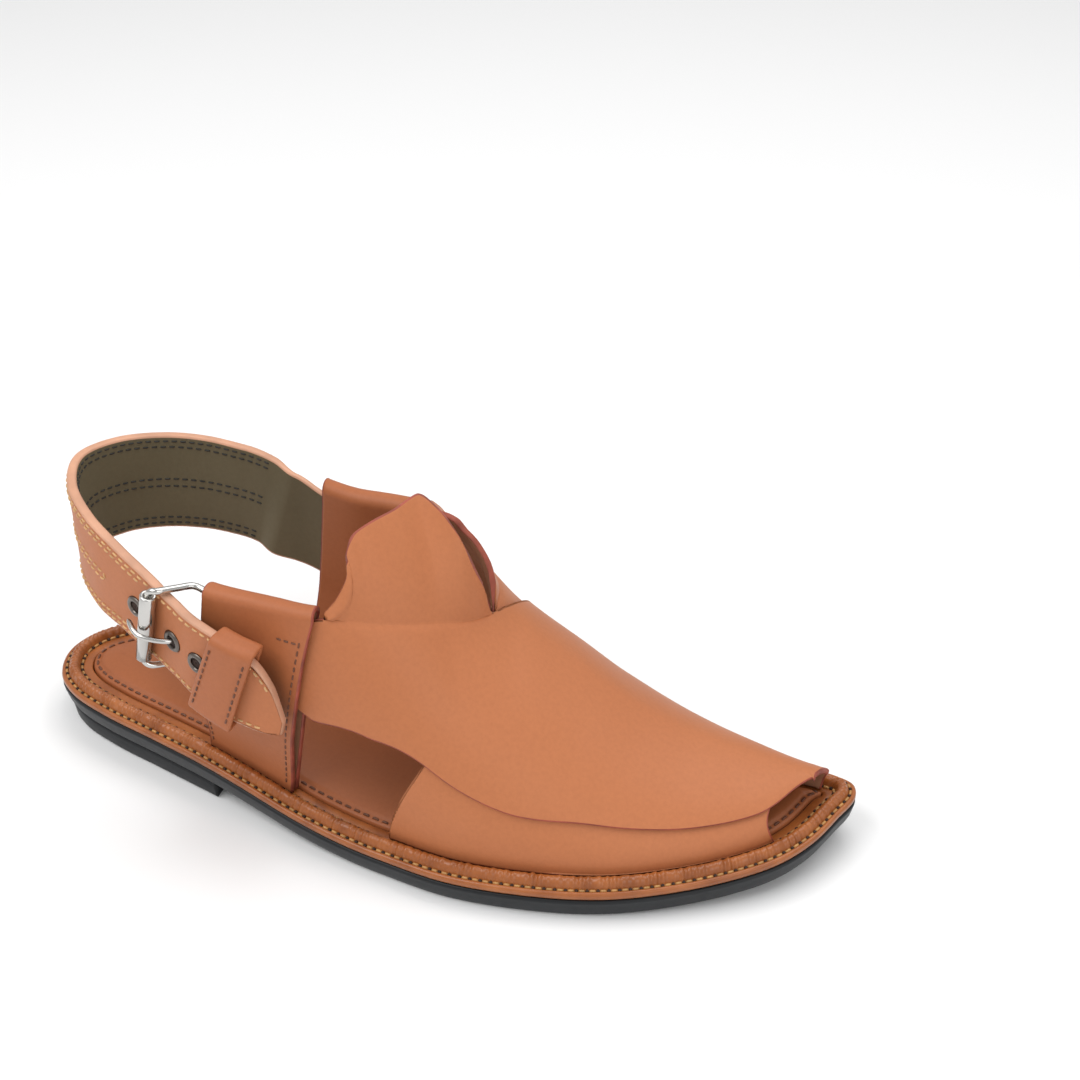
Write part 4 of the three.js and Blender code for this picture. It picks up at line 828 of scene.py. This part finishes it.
def make_stay(side, name, node):
    mid, _ = stay_surface(side, STAY_T / 2)
    far, _ = stay_surface(side, STAY_T / 2 + 0.5)
    nor = unit(far - mid)
    v, f, k = leather_sheet(mid, nor, STAY_T / 2, edge=0.6)
    build(name, v, f, [STAY_TAN, CUT, INNER], [node], kinds=k, merge=1e-6)
    face, _ = stay_surface(side, STAY_T)
    n2 = unit(np.cross(np.gradient(face, axis=0), np.gradient(face, axis=1)))
    n2 *= np.sign((n2 * nor).sum(-1, keepdims=True))
    parts = []
    for col, lo, hi in ((4, 3, 56), (57, 3, 24)):
        parts.append(stitch_row(face[col, lo:hi], n2[col, lo:hi], pitch=3.1, radius=0.3))
    if side > 0:
        parts.append(stitch_row(face[10, 3:56], n2[10, 3:56], pitch=3.1, radius=0.3))
        # three dark marks on the inner stay: painted shade of pinholes
        pinhole_shade_marks = []
        for col, row in ((20, 50), (46, 47), (40, 30)):
            pinhole_shade_marks.append(stitch(face[col, row], unit(face[col, row + 1] - face[col, row]), n2[col, row],
                    0.9, 0.4, 0.2))
        v, f = joined(pinhole_shade_marks)
        build(name + "_pinhole_shade", v, f, [HOLE_SHADE])
    else:
        parts.append(stitch_row(face[5:18, 54], n2[5:18, 54], pitch=2.5, radius=0.32))
    v, f = joined(parts)
    build(name + "_stitches", v, f, [BROWN_THREAD])


make_stay(-1, "stay_lateral_visual", "stay_lateral")
make_stay(1, "stay_medial_visual", "stay_medial")

# ---- heel strap ----
STRAP = np.array([
    (-0.104, 0.29, 0.542, 0.45, -0.45, 1, 0), (-0.155, 0.305, 0.584, 0.46, -0.46, 1, 0),
    (-0.205, 0.317, 0.624, 0.47, -0.47, 1, 0),
    (-0.235, 0.325, 0.648, 0.5, -0.5, 1, 0), (-0.265, 0.328, 0.671, 0.5, -0.5, 0.25, 0.7),
    (-0.3, 0.316, 0.692, 0.5, -0.5, 0, 1),
    (-0.34, 0.287, 0.717, 0.5, -0.5, 0, 1), (-0.38, 0.226, 0.744, 0.5, -0.5, 0, 1),
    (-0.418, 0.123, 0.768, 0.5, -0.5, 0, 1),
    (-0.436, 0, 0.778, 0.5, -0.5, 0, 1), (-0.418, -0.123, 0.768, 0.5, -0.5, 0, 1),
    (-0.375, -0.226, 0.739, 0.49, -0.49, 0, 1),
    (-0.323, -0.297, 0.711, 0.445, -0.445, 0, 1), (-0.274, -0.348, 0.67, 0.42, -0.42, 0, 1),
    (-0.246, -0.381, 0.65, 0.417, -0.417, 0, 1),
    (-0.215, -0.417, 0.628, 0.417, -0.417, 0, 1), (-0.17, -0.444, 0.594, 0.41, -0.41, 0, 1),
    (-0.145, -0.45, 0.578, 0.33, -0.4, 0, 1),
    (-0.12, -0.45, 0.562, 0.13, -0.385, 0, 1), (-0.1, -0.447, 0.55, -0.2, -0.33, 0, 1)])
strap_curve = Spline(np.c_[STRAP[:, 0] * LENGTH, STRAP[:, 1] * BALL, STRAP[:, 2] * THROAT])
_at = np.arange(len(STRAP)) / (len(STRAP) - 1)
strap_head, strap_foot, strap_hold, strap_skive = (column(_at, STRAP[:, k]) for k in (3, 4, 5, 6))


def strap_frame(t):
    p = strap_curve.point(t)
    tan = strap_curve.tangent(np.atleast_1d(t))
    up = unit(np.array([0, 0, 1.0]) - tan * tan[:, 2:3])
    return p, tan, up, unit(np.cross(tan, up))


def strap_point(t, rise, out):
    t, rise, out = np.broadcast_arrays(np.atleast_1d(np.asarray(t, float)), rise, out)
    p, tan, up, o = strap_frame(t)
    flat = p + up * rise[:, None]
    hold = strap_hold(t)
    held, _, _ = stay_middle(flat[:, 0], flat[:, 2], 1)
    flat = np.where((hold > 0)[:, None], mix(flat, held, hold[:, None]), flat)
    return flat + o * out[:, None]


_tt = np.linspace(0.5, 1, 4000)
_tx = strap_curve.point(_tt)[:, 0]


def strap_at(x):
    return np.interp(x, _tx, _tt)


EYELETS = [-0.3, -0.2435, -0.207]
BORE, RIM_D = 4.2, 8.0

T = np.linspace(0, 1, 301)
S = np.linspace(-1, 1, 31)
grid = np.zeros((len(T), len(S), 3))
for j, s in enumerate(S):
    rise = mix(strap_foot(T), strap_head(T), (s + 1) / 2) * STRAP_W
    grid[:, j] = strap_point(T, rise, 0)
o = strap_frame(T)[3]
nor = np.repeat(o[:, None], len(S), 1)
halfs = (mix(PLY, STRAP_T, strap_skive(T)) / 2)[:, None] * np.ones((1, len(S)))
v, f, k = leather_sheet(grid, nor, halfs, edge=0.9, square=0.7)
build("heel_strap_visual", v, f, [TAN, STRAP_CUT, LINING], ["heel_strap"], kinds=k,
        merge=1e-6)


def strap_rows(name, out_side, t0, t1, insets, mat, radius=0.36, pitch=3.0):
    parts = []
    tt = np.linspace(t0, t1, 260)
    half = mix(PLY, STRAP_T, strap_skive(tt)) / 2
    oo = strap_frame(tt)[3] * out_side
    for where, inset in insets:
        edge = (strap_head(tt) if where > 0 else strap_foot(tt)) * STRAP_W if where else 0 * tt
        rise = edge - where * inset if where else 0 * tt + inset
        parts.append(stitch_row(strap_point(tt, rise, half * out_side), oo, pitch=pitch, radius=radius))
    v, f = joined(parts)
    build(name, v, f, [mat])


t_stay = 0.215
t_tip = float(strap_at(-0.122 * LENGTH))
strap_rows("strap_stitch_outer", 1, t_stay, t_tip, [(1, FIRST_ROW), (-1, FIRST_ROW)], CREAM_THREAD)
strap_rows("strap_stitch_outer_second", 1, t_stay, float(strap_at(-0.3 * LENGTH)),
        [(1, SECOND_ROW), (-1, SECOND_ROW)], CREAM_THREAD)
strap_rows("strap_stitch_inner", -1, t_stay, float(strap_at(-0.26 * LENGTH)),
        [(1, FIRST_ROW), (-1, FIRST_ROW), (1, SECOND_ROW), (-1, SECOND_ROW)], BLACK_THREAD, radius=0.32)
strap_rows("strap_stitch_middle", -1, t_stay, MIDDLE_ROW_END, [(0, MIDDLE_HALF), (0, -MIDDLE_HALF)],
        BLACK_THREAD, radius=0.32)

tt = np.linspace(t_stay, MIDDLE_ROW_END, 200)
turn_c = strap_point(np.array([MIDDLE_ROW_END]), np.array([0.0]), np.array([STRAP_T / 2]))[0]
fr = strap_frame(np.array([MIDDLE_ROW_END]))
arc_p = [turn_c + fr[1][0] * MIDDLE_HALF * math.sin(a) + fr[2][0] * MIDDLE_HALF * math.cos(a) for a in np.linspace(0.3, math.pi - 0.3, 7)]
up_row = strap_point(tt, 0 * tt + MIDDLE_HALF, mix(PLY, STRAP_T, strap_skive(tt)) / 2)
low_row = strap_point(tt, 0 * tt - MIDDLE_HALF, mix(PLY, STRAP_T, strap_skive(tt)) / 2)
path_p = np.vstack([up_row, arc_p, low_row[::-1]])
path_o = np.vstack([strap_frame(tt)[3], np.tile(fr[3][0], (7, 1)), strap_frame(tt)[3][::-1]])
v, f = stitch_row(path_p, path_o, pitch=3.0, radius=0.34)
build("strap_stitch_outer_middle", v, f, [CREAM_THREAD])

# ---- eyelets ----


def spool(t, profile, count=40):
    p, tan, up, out = (a[0] for a in strap_frame(np.array([t])))
    verts = []
    for r, h in profile:
        for k in range(count):
            a = 2 * math.pi * k / count
            verts.append(p + tan * r * math.cos(a) + up * r * math.sin(a) + out * h)
    m = len(profile)
    faces = grid_faces(m, count, wrap=True)
    faces += [((m - 1) * count + k, (m - 1) * count + (k + 1) % count, (k + 1) % count,
            k) for k in range(count)]
    return np.array(verts), faces


low = STRAP_T / 2
for i, along in enumerate(EYELETS):
    t = float(strap_at(along * LENGTH))
    prof = [(BORE / 2, low + 0.2), (BORE / 2 + 0.15, low + 0.7), (BORE / 2 + 0.6, low + 0.92),
            (BORE / 2 + 1.2, low + 0.85),
            (RIM_D / 2 - 0.3, low + 0.45), (RIM_D / 2, low + 0.05), (BORE / 2 + 0.4, low + 0.02),
            (BORE / 2 + 0.4, -low + 0.2), (BORE / 2, -low + 0.2)]
    v, f = spool(t, prof)
    build("eyelet_%d_visual" % (i + 1), v, f, [GUN], ["eyelet_%d" % (i + 1)])
    # a dark disc across the eyelet bore: painted shade where the hole goes through
    v, f = spool(t, [(0.01, low + 0.16), (BORE / 2, low + 0.16), (BORE / 2, low - 0.2), (0.01, low - 0.2)],
            24)
    build("eyelet_%d_hole" % (i + 1), v, f, [HOLE_SHADE])

# ---- keeper ----
KEEP_SLACK, KEEP_BACK, KEEP_W, KEEP_T = 1.7, 0.45, 14.5, 1.8


def keeper_loop(thick, shift):
    tall = STRAP_W * 0.417 + KEEP_SLACK / 2
    deep = lambda b: STRAP_T / 2 + (KEEP_SLACK if b > 0 else KEEP_BACK)
    pts = []
    for q, (a, b) in enumerate(((1, 1), (1, -1), (-1, -1), (-1, 1))):
        for step in np.linspace(0, 90, 7):
            g = math.radians(q * 90 + step)
            pts.append((a * (tall - 1) + (1 + thick) * math.sin(g),
                    b * (deep(b) - 1) + (1 + thick) * math.cos(g)))
    dense = []
    for k, (r0, o0) in enumerate(pts):
        r1, o1 = pts[(k + 1) % len(pts)]
        steps = max(1, int(math.hypot(r1 - r0, o1 - o0) / 1.5))
        dense += [(mix(r0, r1, s / steps), mix(o0, o1, s / steps)) for s in range(steps)]
    r, oo = np.array(dense).T
    t = strap_at(KEEPER_AT * LENGTH + shift + r * 0.1)
    return strap_point(t, r, oo)


rings = []
h = KEEP_W / 2
for thick, shift in ((0, -h + 0.4), (0, h - 0.4), (0.25, h - 0.1), (KEEP_T * 0.5, h),
        (KEEP_T - 0.3, h - 0.15), (KEEP_T, h - 0.7), (KEEP_T, 0.5 * h),
                     (KEEP_T, 0), (KEEP_T, -0.5 * h), (KEEP_T, -h + 0.7), (KEEP_T - 0.3, -h + 0.15),
                     (KEEP_T * 0.5, -h), (0.25, -h + 0.1)):
    rings.append((thick, shift))


def resampled(loop, count=120):
    closed = np.vstack([loop, loop[:1]])
    reach = np.r_[0, np.cumsum(np.linalg.norm(np.diff(closed, axis=0), axis=1))]
    s = np.linspace(0, reach[-1], count, endpoint=False)
    return np.c_[[np.interp(s, reach, closed[:, i]) for i in range(3)]].T


loops = [resampled(keeper_loop(a, b)) for a, b in rings]
v = np.vstack(loops)
cnt = len(loops[0])
f = grid_faces(len(loops), cnt, wrap=True)
f += [((len(loops) - 1) * cnt + k, (len(loops) - 1) * cnt + (k + 1) % cnt, (k + 1) % cnt,
        k) for k in range(cnt)]
build("keeper_visual", v, f, [STAY_TAN], ["keeper"])
for s in (-h + 1.6, h - 1.6):
    loop = resampled(keeper_loop(KEEP_T, s))
    centre = loop.mean(0)
    oo = strap_frame(np.array([float(strap_at(KEEPER_AT * LENGTH + s))]))[3][0]
    face = [p for p in loop if (p - centre).dot(oo) > STRAP_T / 2 + 1.0]
    face = np.array(sorted(face, key=lambda p: p[2]))[6:-6]
    v, f = stitch_row(face, np.tile(oo, (len(face), 1)), pitch=3.0, radius=0.34)
    build("keeper_stitch_%s" % ("rear" if s < 0 else "front"), v, f, [BROWN_THREAD])

# ---- buckle ----
FRONT, BACK = -0.188, -0.274
_p, _tan, _up, _out = (a[0] for a in strap_frame(np.array([float(strap_at(BACK * LENGTH))])))
roller = _p + _out * (STRAP_T / 2 + GAP + ROLLER_R)


def frame_place(share, rise):
    front = np.array([FRONT * LENGTH, 0, strap_curve.point(strap_at(FRONT * LENGTH))[0, 2]])
    place = mix(roller, front, share) + _up * rise
    flat = roller[1] + _up[1] * rise
    held = stay_middle(place[0], place[2], -1)[0][1]
    place[1] = mix(flat, held, float(smooth((share - 0.04) / 0.44)))
    return place


half, corner = BUCKLE_H / 2, 2.3
turn = corner / (FRONT - BACK) / LENGTH
arm = [turn, 0.25, 0.4, 0.55, 0.75, 1 - turn]
bar = [corner - half, -half / 2, 0, half / 2, half - corner]
bend, lean = corner * 0.3, turn * 0.3
path = [frame_place(0, r) for r in bar] + [frame_place(lean, half - bend)] + [frame_place(s,
        half) for s in arm]
path += [frame_place(1 - lean, half - bend)] + [frame_place(1,
        r) for r in bar[::-1]] + [frame_place(1 - lean, bend - half)]
path += [frame_place(s, -half) for s in arm[::-1]] + [frame_place(lean, bend - half)]
v, f = tube(path, WIRE / 2, closed=True, steps=220, sides=16, aside=(0, 1, 0))
build("buckle_frame_visual", v, f, [NICKEL], ["buckle_frame"])

prof = [(WIRE / 2 + GAP, -1, 0), (WIRE / 2 + GAP, 1, 0), (ROLLER_R - 0.25, 1, 0), (ROLLER_R, 1, -0.25),
        (ROLLER_R, 0, 0), (ROLLER_R, -1, 0.25), (ROLLER_R - 0.25, -1, 0)]
verts = []
for r, e, shift in prof:
    for kk in range(ROUND):
        a = 2 * math.pi * kk / ROUND
        verts.append(roller + _tan * r * math.cos(a) + _out * r * math.sin(a) + _up * (e * ROLLER_L / 2 + shift))
last = (len(prof) - 1) * ROUND
f = grid_faces(len(prof), ROUND, wrap=True)
f += [(last + kk, last + (kk + 1) % ROUND, (kk + 1) % ROUND, kk) for kk in range(ROUND)]
build("buckle_roller_visual", verts, f, [NICKEL], ["buckle_roller"])

hp, ht, hu, ho = (a[0] for a in strap_frame(np.array([float(strap_at(EYELETS[1] * LENGTH))])))
through = unit(ho - ht * 0.3)
over = ROLLER_R + PRONG / 2 + GAP + 0.2
pts = [frame_place(0.86, 0.5), frame_place(0.74, 0.5), frame_place(0.6, 0.5), hp - through * STRAP_T, hp,
        hp + through * STRAP_T,
       roller + _out * over + _tan * 2, roller + _out * over - _tan,
       roller + _out * (over - 1.6) - _tan * 6]
rad = np.full(90, PRONG / 2)
rad[-6:] *= np.array([0.98, 0.93, 0.85, 0.72, 0.5, 0.2])
v, f = tube(pts, rad, steps=90, sides=14, aside=(0, 0, 1))
build("buckle_prong_visual", v, f, [NICKEL], ["buckle_prong"])

# ---- stage, lights, camera ----
floor_mesh = bpy.data.meshes.new("floor")
floor_mesh.from_pydata([(-6, -6, 0), (6, -6, 0), (6, 6, 0), (-6, 6, 0)], [], [(0, 1, 2, 3)])
floor = bpy.data.objects.new("floor", floor_mesh)
bpy.context.scene.collection.objects.link(floor)
fmat, nt, bsdf, coord = nodes_of("pale_floor")
bsdf.inputs["Base Color"].default_value = (0.86, 0.86, 0.86, 1)
bsdf.inputs["Roughness"].default_value = 0.6
floor.data.materials.append(fmat)

world = bpy.data.worlds.new("studio")
bpy.context.scene.world = world
world.use_nodes = True
bg = world.node_tree.nodes["Background"]
bg.inputs["Color"].default_value = (1, 1, 1, 1)
bg.inputs["Strength"].default_value = 0.62


def area(name, place, aim, size, power, color=(1, 1, 1)):
    light = bpy.data.lights.new(name, "AREA")
    light.shape = "RECTANGLE"
    light.size, light.size_y = size
    light.energy = power
    light.color = color
    obj = bpy.data.objects.new(name, light)
    obj.location = place
    obj.rotation_euler = (Vector(place) - Vector(aim)).to_track_quat("Z", "Y").to_euler()
    bpy.context.scene.collection.objects.link(obj)


area("key", (-0.5, -0.5, 1.1), (0, 0, 0.04), (0.9, 0.7), 8)
area("top", (0.25, 0.35, 1.3), (0, 0, 0.04), (1.1, 0.9), 8)
area("front", (0.9, -0.8, 0.6), (0, 0, 0.04), (0.8, 0.5), 3)

cam = bpy.data.cameras.new("photo")
cam.sensor_width = 36
cam.lens = FOCAL_PX / PHOTO_PX * 36
cam_obj = bpy.data.objects.new("photo", cam)
bpy.context.scene.collection.objects.link(cam_obj)
az, el = math.radians(AZIMUTH), math.radians(ELEVATION)
back = Vector((math.sin(az) * math.cos(el), -math.cos(az) * math.cos(el), math.sin(el)))
cam_obj.location = (0.1768 - MIDDLE[0] / 1000, -0.4267 - MIDDLE[1] / 1000, 0.4071)
cam_obj.rotation_euler = back.to_track_quat("Z", "Y").to_euler()
bpy.context.scene.camera = cam_obj
bpy.context.scene.view_settings.view_transform = "Standard"
bpy.context.scene.view_settings.look = "None"
